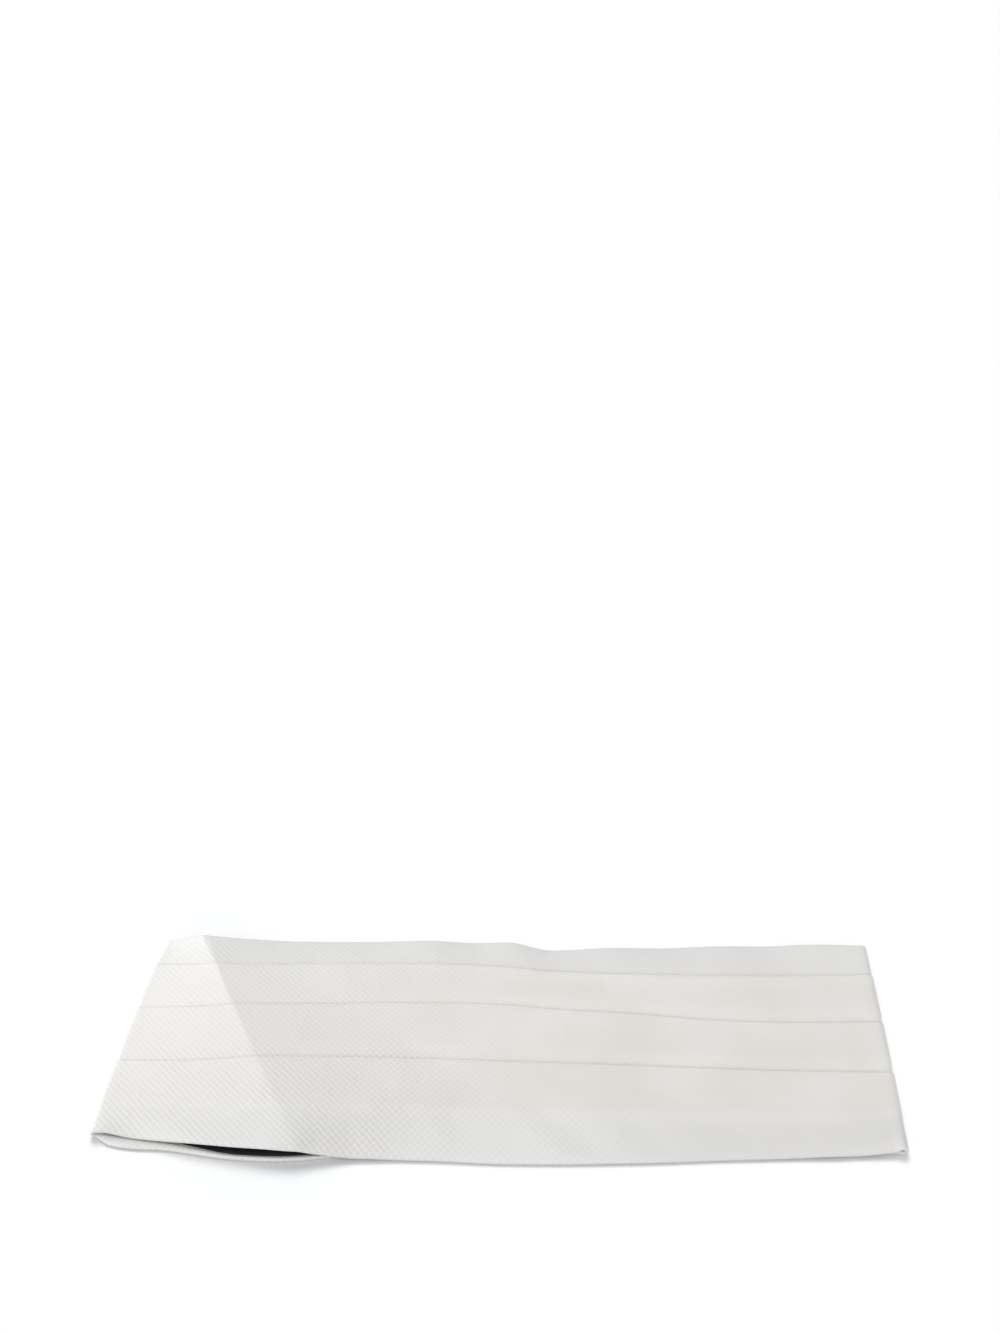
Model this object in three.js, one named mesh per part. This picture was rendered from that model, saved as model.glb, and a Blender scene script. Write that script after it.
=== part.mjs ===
// Cummerbund of pleated white silk twill, a closed waist loop that lies folded flat.
// +X runs along the folded length, +Y points at the worn top edge and +Z is up.
// The origin is the middle of the footprint, on the surface that the loop lies on.
import * as THREE from "three";

// Driving dimensions, in millimetres
const FOLDED_LENGTH = 417;     // between the outer sides of the two end folds, half way up
const FRONT_HEIGHT = 151;      // worn height at the deepest place of the front
const TAIL_LENGTH = 172;       // cloth that runs back under the front from each end fold
const LEFT_SLANT = 14;         // how far the left fold leans from its near end to its far end
const RIGHT_SLANT = 8;         // how far the right fold leans from its near end to its far end
const LEFT_BOW = 2.5;          // how far the left fold bulges out half way up
const CLOTH_WALL = 1.0;        // silk twill with its interlining, where it is a single ply
const PLEAT_STEP = 1.0;        // how far a pleat's folded edge stands above the next band
const PLEAT_MOUTH = 4;         // how deep a pleat's mouth is open under its folded edge
const LINING_WALL = 1.0;
const HEM_TURN = 1.8;          // cloth turned over each long edge, up to the lining
const HEM_PROUD = 0.2;         // the turned cloth stands this far beyond the lining
const EDGE_ROUND = 0.45;       // rounding of the turned edges
const STRAP_WIDTH = 44;
const STRAP_WALL = 1.0;
const STRAP_TUCK = 14;         // strap end held inside each tail
const CLASP_LENGTH = 16;
const CLASP_WALL = 1.0;
const RIDGE_LIFT = 5.0;        // how far the crease at the left lifts the front
const RIDGE_FALL = 55;         // how soon the front comes down again, right of the crease
const PIECE_GAP = 0.3;         // between neighbouring pieces
const REST_GAP = 0.5;          // between the front and what it lies on

// The loop's reference surface runs between the cloth, outside it, and the lining, inside it
const CLOTH_IN = PIECE_GAP / 2;
const CLOTH_OUT = CLOTH_IN + CLOTH_WALL;
const LINING_OUT = -PIECE_GAP / 2;
const LINING_IN = LINING_OUT - LINING_WALL;
const HEM_IN = LINING_IN - HEM_PROUD;
const STRAP_BOTTOM = CLOTH_WALL + PIECE_GAP;
const STRAP_TOP = STRAP_BOTTOM + STRAP_WALL;
const CLASP_TOP = STRAP_TOP + PIECE_GAP + CLASP_WALL;
const TAIL_TOP = CLOTH_OUT - HEM_IN;
const TAIL_LEVEL = CLOTH_OUT;
const FRONT_LEVEL = Math.max(TAIL_TOP, CLASP_TOP) + REST_GAP - HEM_IN;
const FLOOR_LEVEL = -HEM_IN;
const FOLD_RADIUS = (FRONT_LEVEL - TAIL_LEVEL) / 2;
const POCKET_HALF_WIDTH = STRAP_WIDTH / 2 + PIECE_GAP + HEM_TURN;
const TAIL_RUN = TAIL_LENGTH - FOLD_RADIUS - CLOTH_OUT;
const LINING_END = 1 - (STRAP_TUCK + PIECE_GAP) / TAIL_RUN;

// Marks across the cloth, from the near edge over the three pleats' folded edges to the far edge,
// and where they lie as shares of the flat width. Places across the cloth count these marks.
const MARKS = ["near", "low_fold", "mid_fold", "top_fold", "far"];
const MARK_SHARES = [0, 0.38, 0.62, 0.83, 1];
const FAR_MARK = MARKS.length - 1;
const UNDERFOLD_SHARE = 0.47;  // where the lowest pleat's hidden plies end, between marks 0 and 1
const EDGE_CURVE = 1.3;        // how the single ply bends down to an edge
const FLANK_CURVE = 1.25;      // how the front falls away right of the crease
const NOSE = 0.7 * PLEAT_STEP; // rounding of a pleat's folded edge

// The front, from the left fold (along 0) to the right fold (along 1).
// near to far place the marks, as shares of FRONT_HEIGHT from the middle line.
// near_down and far_down tell how far an edge has come down: 0 held up, 1 down on the surface.
const FRONT_TABLE = {
  columns: ["along", "near", "low_fold", "mid_fold", "top_fold", "far", "near_down", "far_down"],
  rows: [
    [0.000, -0.396, -0.107, 0.134, 0.345, 0.475, 0.00, 0.00],
    [0.100, -0.441, -0.117, 0.122, 0.322, 0.470, 0.00, 0.05],
    [0.180, -0.471, -0.112, 0.136, 0.336, 0.481, 0.00, 0.55],
    [0.240, -0.486, -0.104, 0.146, 0.345, 0.486, 0.00, 0.80],
    [0.315, -0.484, -0.100, 0.153, 0.346, 0.485, 0.55, 0.80],
    [0.400, -0.488, -0.102, 0.154, 0.344, 0.483, 0.97, 0.80],
    [0.500, -0.500, -0.113, 0.144, 0.328, 0.474, 1.00, 0.80],
    [0.560, -0.501, -0.119, 0.126, 0.306, 0.440, 1.00, 0.80],
    [0.670, -0.496, -0.130, 0.103, 0.290, 0.449, 1.00, 0.80],
    [0.760, -0.487, -0.142, 0.076, 0.284, 0.452, 1.00, 0.80],
    [0.860, -0.479, -0.153, 0.062, 0.282, 0.458, 0.90, 0.75],
    [0.930, -0.473, -0.157, 0.062, 0.285, 0.457, 0.42, 0.40],
    [1.000, -0.460, -0.159, 0.065, 0.289, 0.447, 0.00, 0.00],
  ],
};

// The crease at the left, from the near edge (across 0) to the far edge (across 1).
// along is a share of FOLDED_LENGTH from the left fold, lift a share of RIDGE_LIFT.
const RIDGE_TABLE = {
  columns: ["across", "along", "lift"],
  rows: [
    [0.00, 0.242, 1.00],
    [0.37, 0.175, 0.92],
    [0.70, 0.116, 0.94],
    [1.00, 0.068, 1.08],
  ],
};

// Each tail, from its fold (along 0) to the strap (along 1). near_in and far_in tell how far
// each edge has come in from the fold's end (0) to the strap's pocket (1).
const LEFT_TAIL_TABLE = {
  columns: ["along", "near_in", "far_in"],
  rows: [
    [0.00, 0.00, 0.00],
    [0.04, -0.13, 0.02],
    [0.12, -0.20, 0.05],
    [0.20, -0.215, 0.15],
    [0.30, -0.29, 0.26],
    [0.42, -0.375, 0.36],
    [0.53, -0.40, 0.46],
    [0.70, -0.325, 0.64],
    [0.84, 0.10, 0.82],
    [0.93, 0.70, 0.94],
    [1.00, 1.00, 1.00],
  ],
};
const RIGHT_TAIL_TABLE = {
  columns: ["along", "near_in", "far_in"],
  rows: [
    [0.00, 0.00, 0.00],
    [0.10, 0.06, 0.06],
    [0.22, 0.22, 0.22],
    [0.40, 0.42, 0.42],
    [0.65, 0.66, 0.66],
    [0.85, 0.88, 0.88],
    [1.00, 1.00, 1.00],
  ],
};

// Steps along the loop, as shares of the stretch that they divide
const TAIL_STEPS = [0.05, 0.12, 0.2, 0.3, 0.42, 0.54, 0.64, 0.72, 0.78, 0.83, 0.88, 0.94, 1];
const FACET_STEPS = [0.18, 0.4, 0.62, 0.82, 1];
const FLANK_STEPS = [0.014, 0.032, 0.055, 0.085, 0.12, 0.16];
const LEVEL_STEPS = 14;
const FOLD_STEPS = 6;

const LEFT_END = { side: -1, slant: LEFT_SLANT, bow: LEFT_BOW, tail: LEFT_TAIL_TABLE };
const RIGHT_END = { side: 1, slant: RIGHT_SLANT, bow: 0, tail: RIGHT_TAIL_TABLE };

const SILK_COLOUR = 0xe8e6e1;
const LINING_COLOUR = 0x17181c;
const STRAP_COLOUR = 0x1b1b1e;
const CLASP_COLOUR = 0x2a2b2e;

// Value of a column between two rows, on a smooth curve that never overshoots its rows
function readColumn(table, name, share) {
  const rows = table.rows;
  const column = table.columns.indexOf(name);
  const slope = (k) => (rows[k + 1][column] - rows[k][column]) / (rows[k + 1][0] - rows[k][0]);
  const tangent = (k) => {
    if (k === 0 || k === rows.length - 1) {
      return slope(Math.min(k, rows.length - 2));
    }
    const before = slope(k - 1);
    const after = slope(k);
    return before * after > 0 ? (2 * before * after) / (before + after) : 0;
  };
  const clamped = THREE.MathUtils.clamp(share, rows[0][0], rows[rows.length - 1][0]);
  let k = 0;
  while (k < rows.length - 2 && rows[k + 1][0] < clamped) {
    k += 1;
  }
  const span = rows[k + 1][0] - rows[k][0];
  const t = (clamped - rows[k][0]) / span;
  const start = rows[k][column];
  const rise = rows[k + 1][column] - start;
  const bend = t * (1 - t) * ((1 - t) * tangent(k) - t * tangent(k + 1)) * span;
  return start + rise * t * t * (3 - 2 * t) + bend;
}

// Value between the five marks across the cloth
function betweenMarks(values, across) {
  const k = Math.min(Math.floor(across), FAR_MARK - 1);
  return THREE.MathUtils.lerp(values[k], values[k + 1], across - k);
}

// How far a fold leans and bulges away from its middle, at a share of the width
function foldLean(end, width) {
  return end.slant * (width - 0.5) + end.side * end.bow * 4 * width * (1 - width);
}

function foldX(end, width) {
  return end.side * (FOLDED_LENGTH / 2 - FOLD_RADIUS - CLOTH_OUT) + foldLean(end, width);
}

// Place along a tail: the fold's lean fades out on the way to the strap
function tailX(end, share, width) {
  const lean = foldLean(end, width) * Math.max(0, 1 - share / LINING_END);
  return end.side * (FOLDED_LENGTH / 2 - TAIL_LENGTH + TAIL_RUN * (1 - share)) + lean;
}

function ridgeX(width) {
  return (readColumn(RIDGE_TABLE, "along", width) - 0.5) * FOLDED_LENGTH;
}

// Place across the worn height of a mark on the front, at a given place along it
function frontY(x, across) {
  const along = x / FOLDED_LENGTH + 0.5;
  const marks = MARKS.map((name) => readColumn(FRONT_TABLE, name, along));
  return FRONT_HEIGHT * betweenMarks(marks, across);
}

// Height that the crease adds: a straight facet up from the left fold, a hollow flank right of it
function ridgeHeight(x, width) {
  const lift = RIDGE_LIFT * readColumn(RIDGE_TABLE, "lift", width);
  const crest = ridgeX(width);
  const start = foldX(LEFT_END, width);
  const up = THREE.MathUtils.clamp((x - start) / (crest - start), 0, 1);
  const down = THREE.MathUtils.clamp(1 - (x - crest) / RIDGE_FALL, 0, 1);
  return lift * (x < crest ? up : down ** FLANK_CURVE);
}

// Height of the front's reference surface: level where it is pleated, lower at its single-ply edges
function frontZ(x, across, width) {
  const along = x / FOLDED_LENGTH + 0.5;
  const fall = FRONT_LEVEL - FLOOR_LEVEL;
  const nearShare = Math.max(0, 1 - across / UNDERFOLD_SHARE) ** EDGE_CURVE;
  const farShare = Math.max(0, across - FAR_MARK + 1) ** EDGE_CURVE;
  const nearDrop = fall * readColumn(FRONT_TABLE, "near_down", along) * nearShare;
  const farDrop = fall * readColumn(FRONT_TABLE, "far_down", along) * farShare;
  return FRONT_LEVEL - nearDrop - farDrop + ridgeHeight(x, width);
}

// A point of the loop at a station along it. across counts marks, inset moves the point along +Y
// and offset moves it away from the reference surface, outwards. relief is scaled by the station.
function loopPoint(station, across, inset, offset) {
  const width = betweenMarks(MARK_SHARES, across) + inset / FRONT_HEIGHT;
  if (station.zone === "front") {
    const x = THREE.MathUtils.lerp(station.fromX(width), station.toX(width), station.share);
    return new THREE.Vector3(x, frontY(x, across) + inset, frontZ(x, across, width) + offset);
  }
  const centre = foldX(station.end, width);
  if (station.zone === "fold") {
    const radius = FOLD_RADIUS + offset;
    const x = centre + station.end.side * radius * Math.cos(station.turn);
    const z = TAIL_LEVEL + FOLD_RADIUS + radius * Math.sin(station.turn);
    return new THREE.Vector3(x, frontY(centre, across) + inset, z);
  }
  const nearIn = readColumn(station.end.tail, "near_in", station.share);
  const farIn = readColumn(station.end.tail, "far_in", station.share);
  const foldNear = frontY(centre, 0);
  const foldFar = frontY(centre, FAR_MARK);
  const near = THREE.MathUtils.lerp(foldNear, -POCKET_HALF_WIDTH, nearIn);
  const far = THREE.MathUtils.lerp(foldFar, POCKET_HALF_WIDTH, farIn);
  const y = THREE.MathUtils.mapLinear(frontY(centre, across), foldNear, foldFar, near, far);
  return new THREE.Vector3(tailX(station.end, station.share, width), y + inset, TAIL_LEVEL - offset);
}

// Stations of one tail, from the fold inwards, up to a given share of its length
function tailStations(end, lastShare) {
  const shares = TAIL_STEPS.map((step) => step * LINING_END);
  shares.push((1 + LINING_END) / 2, 1);
  const used = shares.filter((share) => share <= lastShare);
  return used.map((share) => ({ zone: "tail", end, share, relief: 0 }));
}

// Stations round one end fold, from the tail up to the front
function foldStations(end) {
  return Array.from({ length: FOLD_STEPS + 1 }, (_, k) => {
    const turn = -Math.PI / 2 + (Math.PI * k) / FOLD_STEPS;
    return { zone: "fold", end, turn, relief: ((1 + Math.sin(turn)) / 2) ** 2 };
  });
}

// Stations along the front, between the folds: up to the crease, then on to the right fold
function frontStations() {
  const leftFold = (width) => foldX(LEFT_END, width);
  const rightFold = (width) => foldX(RIGHT_END, width);
  const facet = FACET_STEPS.map((share) => (
    { zone: "front", fromX: leftFold, toX: ridgeX, share, relief: 1 }));
  const flankEnd = FLANK_STEPS[FLANK_STEPS.length - 1];
  const level = Array.from({ length: LEVEL_STEPS - 1 }, (_, k) => (
    THREE.MathUtils.lerp(flankEnd, 1, (k + 1) / LEVEL_STEPS)));
  const rest = [...FLANK_STEPS, ...level].map((share) => (
    { zone: "front", fromX: ridgeX, toX: rightFold, share, relief: 1 }));
  return [...facet, ...rest];
}

// Every station of the loop, from the end of the left tail to the end of the right one
function loopStations(lastShare) {
  return [
    ...tailStations(LEFT_END, lastShare).reverse(),
    ...foldStations(LEFT_END),
    ...frontStations(),
    ...foldStations(RIGHT_END).reverse(),
    ...tailStations(RIGHT_END, lastShare),
  ];
}

// Rows of points across a turned edge of the cloth, from the lining round to the outside
function edgeRows(mark, inward) {
  return [
    { across: mark, inset: inward * HEM_TURN, offset: HEM_IN, relief: 0 },
    { across: mark, inset: inward * EDGE_ROUND, offset: HEM_IN, relief: 0 },
    { across: mark, inset: 0, offset: HEM_IN + EDGE_ROUND, relief: 0 },
    { across: mark, inset: 0, offset: CLOTH_OUT - EDGE_ROUND, relief: 0 },
    { across: mark, inset: inward * EDGE_ROUND, offset: CLOTH_OUT, relief: 0 },
  ];
}

// Rows of points round a pleat's folded edge: its rounded nose, then its mouth, then the next band.
// Where the cloth is pressed flat, under the loop, the flat insets take over.
function pleatRows(mark) {
  return [
    { across: mark, inset: -PLEAT_MOUTH, flatInset: -2 * NOSE, relief: 1 },
    { across: mark, inset: -NOSE, flatInset: -NOSE, relief: 1 },
    { across: mark, inset: 0, flatInset: -0.6 * NOSE, relief: 0.68 },
    { across: mark, inset: -0.6 * NOSE, flatInset: -0.3 * NOSE, relief: 0.36 },
    { across: mark, inset: 0.3 * NOSE - PLEAT_MOUTH, flatInset: 0, relief: 0.12 },
    { across: mark, inset: 0.7 * NOSE, flatInset: 0.7 * NOSE, relief: 0 },
  ];
}

// Rows of points across a pleated band, between two fold lines or edges
function bandRows(first, shares) {
  return shares.map(([share, relief]) => ({ across: first + share, inset: 0, offset: CLOTH_OUT, relief }));
}

// The cloth's outside, from the near hem over the three pleats to the far hem
function clothOutsideRows() {
  const rows = [
    ...edgeRows(0, 1),
    ...bandRows(0, [[0.2, 0], [UNDERFOLD_SHARE - 0.06, 0], [UNDERFOLD_SHARE + 0.03, 0.85], [0.75, 0.95]]),
    ...pleatRows(1),
    ...bandRows(1, [[0.2, 0.35], [0.5, 0.8]]),
    ...pleatRows(2),
    ...bandRows(2, [[0.2, 0.35], [0.5, 0.8]]),
    ...pleatRows(3),
    ...bandRows(3, [[0.35, 0], [0.7, 0]]),
    ...edgeRows(FAR_MARK, -1).reverse(),
  ];
  return rows.map((row) => ({ flatInset: row.inset, offset: CLOTH_OUT, ...row }));
}

// Plain rows across the loop at one offset, between the insides of the two hems
function plainRows(edgeInset, offset) {
  const middle = [0.25, UNDERFOLD_SHARE, 0.75, 1, 1.5, 2, 2.5, 3, 3.25, 3.5];
  return [
    { across: 0, inset: edgeInset, flatInset: edgeInset, offset, relief: 0 },
    ...middle.map((across) => ({ across, inset: 0, flatInset: 0, offset, relief: 0 })),
    { across: FAR_MARK, inset: -edgeInset, flatInset: -edgeInset, offset, relief: 0 },
  ];
}

function stationPoints(station, rows) {
  return rows.map((row) => {
    const inset = THREE.MathUtils.lerp(row.flatInset, row.inset, station.relief);
    const offset = row.offset + row.relief * PLEAT_STEP * station.relief;
    return loopPoint(station, row.across, inset, offset);
  });
}

// Triangles between two chains of points that run side by side, as index triples
function zipChains(outside, inside, points) {
  const faces = [];
  let i = 0;
  let j = 0;
  while (i < outside.length - 1 || j < inside.length - 1) {
    const nextOut = i < outside.length - 1 ? points[outside[i + 1]].y : Infinity;
    const nextIn = j < inside.length - 1 ? points[inside[j + 1]].y : Infinity;
    if (nextIn < nextOut) {
      faces.push([outside[i], inside[j + 1], inside[j]]);
      j += 1;
    } else {
      faces.push([outside[i], outside[i + 1], inside[j]]);
      i += 1;
    }
  }
  return faces;
}

// A closed wall along the loop, from rows of points on its outer face and on its inner face
function loopWall(stations, outerRows, innerRows) {
  const points = [];
  stations.forEach((station) => {
    points.push(...stationPoints(station, outerRows));
    points.push(...stationPoints(station, innerRows).reverse());
  });
  const size = outerRows.length + innerRows.length;
  const faces = [];
  for (let s = 0; s < stations.length - 1; s += 1) {
    for (let k = 0; k < size; k += 1) {
      const a = s * size + k;
      const b = s * size + ((k + 1) % size);
      const nextA = a + size;
      const nextB = b + size;
      const isOuter = k < outerRows.length;
      faces.push(...(isOuter ? [[a, nextA, nextB], [a, nextB, b]] : [[a, nextA, b], [b, nextA, nextB]]));
    }
  }
  [0, (stations.length - 1) * size].forEach((start, atEnd) => {
    const outside = outerRows.map((_, k) => start + k);
    const inside = innerRows.map((_, k) => start + size - 1 - k);
    const cap = zipChains(outside, inside, points);
    faces.push(...(atEnd ? cap.map((face) => face.reverse()) : cap));
  });
  const geometry = new THREE.BufferGeometry().setFromPoints(points);
  geometry.setIndex(faces.flat());
  geometry.computeVertexNormals();
  return geometry;
}

function clothMaterial(name, colour, roughness) {
  return new THREE.MeshStandardMaterial({ name, color: colour, roughness, metalness: 0 });
}

function namedMesh(name, geometry, material) {
  const mesh = new THREE.Mesh(geometry, material);
  mesh.name = name;
  return mesh;
}

// The white outer cloth, a shallow tray in section: its hems close over the lining's edges
function pleatedPanel() {
  const geometry = loopWall(loopStations(1), clothOutsideRows(), plainRows(HEM_TURN, CLOTH_IN));
  return namedMesh("pleated_panel", geometry, clothMaterial("silk_twill", SILK_COLOUR, 0.62));
}

// The black lining, between the hems, up to the tucked strap ends
function lining() {
  const edge = HEM_TURN + PIECE_GAP;
  const outside = plainRows(edge, LINING_OUT);
  const inside = plainRows(edge, LINING_IN);
  const geometry = loopWall(loopStations(LINING_END), outside, inside);
  return namedMesh("lining", geometry, clothMaterial("lining_cloth", LINING_COLOUR, 0.55));
}

// A shape in the Y and Z plane drawn out along X, centred
function alongX(shape, length) {
  const geometry = new THREE.ExtrudeGeometry(shape, { depth: length, bevelEnabled: false, curveSegments: 4 });
  geometry.translate(0, 0, -length / 2);
  geometry.rotateX(Math.PI / 2);
  geometry.rotateZ(Math.PI / 2);
  return geometry;
}

function rectangle(path, halfWidth, bottom, top) {
  path.moveTo(-halfWidth, bottom);
  path.lineTo(halfWidth, bottom);
  path.lineTo(halfWidth, top);
  path.lineTo(-halfWidth, top);
  path.closePath();
  return path;
}

// The plain strap that joins the tails behind the wearer, with its ends tucked into them
function waistStrap() {
  const span = FOLDED_LENGTH - 2 * TAIL_LENGTH + 2 * STRAP_TUCK;
  const shape = rectangle(new THREE.Shape(), STRAP_WIDTH / 2, STRAP_BOTTOM, STRAP_TOP);
  return namedMesh("waist_strap", alongX(shape, span), clothMaterial("strap_web", STRAP_COLOUR, 0.8));
}

// The closed clasp, one plain sleeve round the strap, resting on the surface
function clasp() {
  const innerHalf = STRAP_WIDTH / 2 + PIECE_GAP;
  const shape = rectangle(new THREE.Shape(), innerHalf + CLASP_WALL, 0, CLASP_TOP);
  shape.holes.push(rectangle(new THREE.Path(), innerHalf, STRAP_BOTTOM - PIECE_GAP, STRAP_TOP + PIECE_GAP));
  const material = new THREE.MeshStandardMaterial({
    name: "clasp_metal", color: CLASP_COLOUR, roughness: 0.4, metalness: 0.8,
  });
  return namedMesh("clasp", alongX(shape, CLASP_LENGTH), material);
}

const cummerbund = new THREE.Group();
cummerbund.add(pleatedPanel(), lining(), waistStrap(), clasp());

const footprint = new THREE.Box3().setFromObject(cummerbund);
const middle = footprint.getCenter(new THREE.Vector3());
cummerbund.position.set(-middle.x, -middle.y, 0);

export default cummerbund;
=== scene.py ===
"""A pleated white silk twill cummerbund with a black lining, lying folded flat as a closed loop.

Lengths are in metres. +X runs along the folded length, +Y points at the worn top edge and +Z is up.
The loop is one long band of cloth: a left tail under the front, the left end fold, the front with
its three pleats, the right end fold and a right tail. A strap and a clasp join the two tails.
"""
import logging
import math
from dataclasses import dataclass
from enum import Enum

import bpy
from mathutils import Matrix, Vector, noise


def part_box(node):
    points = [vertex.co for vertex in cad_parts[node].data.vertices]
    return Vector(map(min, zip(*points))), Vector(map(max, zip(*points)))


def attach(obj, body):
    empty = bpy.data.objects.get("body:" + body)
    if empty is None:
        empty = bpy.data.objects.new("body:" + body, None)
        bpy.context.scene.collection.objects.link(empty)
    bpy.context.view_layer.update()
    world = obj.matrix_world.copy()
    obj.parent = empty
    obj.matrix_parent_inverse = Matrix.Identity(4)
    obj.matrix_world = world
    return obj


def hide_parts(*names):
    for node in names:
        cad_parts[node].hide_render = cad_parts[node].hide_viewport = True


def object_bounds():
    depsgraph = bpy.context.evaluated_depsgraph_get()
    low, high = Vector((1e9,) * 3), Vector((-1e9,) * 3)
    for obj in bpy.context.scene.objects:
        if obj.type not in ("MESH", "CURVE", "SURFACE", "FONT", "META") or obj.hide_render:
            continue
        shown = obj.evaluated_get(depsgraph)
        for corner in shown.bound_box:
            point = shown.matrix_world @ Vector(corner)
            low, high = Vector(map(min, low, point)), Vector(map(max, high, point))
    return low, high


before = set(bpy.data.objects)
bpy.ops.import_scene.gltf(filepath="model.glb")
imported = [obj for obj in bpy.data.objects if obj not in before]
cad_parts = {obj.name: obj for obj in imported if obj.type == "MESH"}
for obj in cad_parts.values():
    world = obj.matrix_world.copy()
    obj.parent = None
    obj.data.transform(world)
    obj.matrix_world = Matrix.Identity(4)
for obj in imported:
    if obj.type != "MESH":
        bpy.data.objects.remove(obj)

LOG = logging.getLogger("cummerbund")
MM = 0.001
CAD_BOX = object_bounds()

PIECE_GAP = 0.3 * MM           # between neighbouring pieces
REST_GAP = 0.5 * MM            # between the front and what it lies on
CLOTH_WALL = 1.0 * MM          # depth that the outer cloth takes up, with its interlining
LINING_WALL = 1.0 * MM         # depth that the lining takes up
HEM_PROUD = 0.2 * MM           # the turned hem stands this far beyond the lining
HEM_TURN = 2.0 * MM            # visible width of the turned hem on the inside
STRAP_TUCK = 14 * MM           # strap end held inside each tail
Span = tuple[float, float]     # where a change begins and where it ends


class End(Enum):
    """The two end folds of the loop, by the side that they lie on."""

    LEFT = -1
    RIGHT = 1


class Zone(Enum):
    """The stretches that the loop is made of."""

    TAIL = "tail"
    FOLD = "fold"
    FRONT = "front"


def mix(start: float, end: float, share: float) -> float:
    """Value between start and end."""
    return start + (end - start) * share


def smooth_step(start: float, end: float, value: float) -> float:
    """0 before start, 1 after end and a smooth rise between them."""
    share = min(1.0, max(0.0, (value - start) / (end - start)))
    return share * share * (3 - 2 * share)


def arc(turns: tuple[float, ...]) -> list[tuple[float, float, float]]:
    """Each turn in degrees with its cosine and its sine."""
    return [(turn, math.cos(math.radians(turn)), math.sin(math.radians(turn))) for turn in turns]


@dataclass(frozen=True)
class Table:
    """A short table of shares, read on smooth curves that never overshoot its rows."""

    columns: tuple[str, ...]
    rows: tuple[tuple[float, ...], ...]

    def _slope(self, column: int, k: int) -> float:
        """Slope of a column between rows k and k + 1."""
        low, high = self.rows[k], self.rows[k + 1]
        return (high[column] - low[column]) / (high[0] - low[0])

    def _tangent(self, column: int, k: int) -> float:
        """Slope of the smooth curve at a row.

        Args:
            column: the column's number.
            k: the row's number.

        Returns:
            The slope.
        """
        if k in (0, len(self.rows) - 1):
            return self._slope(column, min(k, len(self.rows) - 2))
        before = self._slope(column, k - 1)
        after = self._slope(column, k)
        return 2 * before * after / (before + after) if before * after > 0 else 0.0

    def read(self, name: str, share: float) -> float:
        """Value of a column at a share of the table's first column.

        Args:
            name: the column's name.
            share: the place along the first column; past the ends, the end rows hold.

        Returns:
            The value on a smooth curve through the rows.
        """
        column = self.columns.index(name)
        share = min(self.rows[-1][0], max(self.rows[0][0], share))
        k = 0
        while k < len(self.rows) - 2 and self.rows[k + 1][0] < share:
            k += 1
        span = self.rows[k + 1][0] - self.rows[k][0]
        t = (share - self.rows[k][0]) / span
        start = self.rows[k][column]
        rise = self.rows[k + 1][column] - start
        bend = t * (1 - t) * ((1 - t) * self._tangent(column, k) - t * self._tangent(column, k + 1))
        return start + rise * t * t * (3 - 2 * t) + bend * span


# Marks across the cloth: near edge, the three pleats' folded edges, far edge, as shares of the width
MARKS = ("near", "low_fold", "mid_fold", "top_fold", "far")
MARK_SHARES = (0, 0.38, 0.62, 0.83, 1)
FAR_MARK = len(MARKS) - 1

# The front, from the left fold (along 0) to the right fold (along 1). The marks are shares of the
# worn height from the middle line. near_down and far_down: 0 held up, 1 down on the surface.
FRONT_TABLE = Table(
    ("along", "near", "low_fold", "mid_fold", "top_fold", "far", "near_down", "far_down"),
    (
        (0.000, -0.396, -0.107, 0.134, 0.345, 0.475, 0.00, 0.00),
        (0.100, -0.441, -0.117, 0.122, 0.322, 0.470, 0.00, 0.05),
        (0.180, -0.471, -0.112, 0.136, 0.336, 0.481, 0.00, 0.55),
        (0.240, -0.486, -0.104, 0.146, 0.345, 0.486, 0.00, 0.80),
        (0.315, -0.484, -0.100, 0.153, 0.346, 0.485, 0.55, 0.80),
        (0.400, -0.488, -0.102, 0.154, 0.344, 0.483, 0.97, 0.80),
        (0.500, -0.500, -0.113, 0.144, 0.328, 0.474, 1.00, 0.80),
        (0.560, -0.501, -0.119, 0.126, 0.306, 0.440, 1.00, 0.80),
        (0.670, -0.496, -0.130, 0.103, 0.290, 0.449, 1.00, 0.80),
        (0.760, -0.487, -0.142, 0.076, 0.284, 0.452, 1.00, 0.80),
        (0.860, -0.479, -0.153, 0.062, 0.282, 0.458, 0.90, 0.75),
        (0.930, -0.473, -0.157, 0.062, 0.285, 0.457, 0.42, 0.40),
        (1.000, -0.460, -0.159, 0.065, 0.289, 0.447, 0.00, 0.00),
    ),
)

# The crease at the left, from the near edge (across 0) to the far edge (across 1)
RIDGE_TABLE = Table(
    ("across", "along", "lift"),
    ((0.00, 0.242, 1.00), (0.37, 0.175, 0.92), (0.70, 0.116, 0.94), (1.00, 0.068, 1.08)),
)

# Each tail, from its fold (along 0) to the strap (along 1): how far each edge has come in, from the
# fold's end (0) to the strap's pocket (1)
TAIL_COLUMNS = ("along", "near_in", "far_in")
TAIL_TABLES = {
    End.LEFT: Table(
        TAIL_COLUMNS,
        (
            (0.00, 0.00, 0.00), (0.04, -0.13, 0.02), (0.12, -0.20, 0.05), (0.20, -0.215, 0.15),
            (0.30, -0.29, 0.26), (0.42, -0.375, 0.36), (0.53, -0.40, 0.46), (0.70, -0.325, 0.64),
            (0.84, 0.10, 0.82), (0.93, 0.70, 0.94), (1.00, 1.00, 1.00),
        ),
    ),
    End.RIGHT: Table(
        TAIL_COLUMNS,
        (
            (0.00, 0.00, 0.00), (0.10, 0.06, 0.06), (0.22, 0.22, 0.22), (0.40, 0.42, 0.42),
            (0.65, 0.66, 0.66), (0.85, 0.88, 0.88), (1.00, 1.00, 1.00),
        ),
    ),
}

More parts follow.
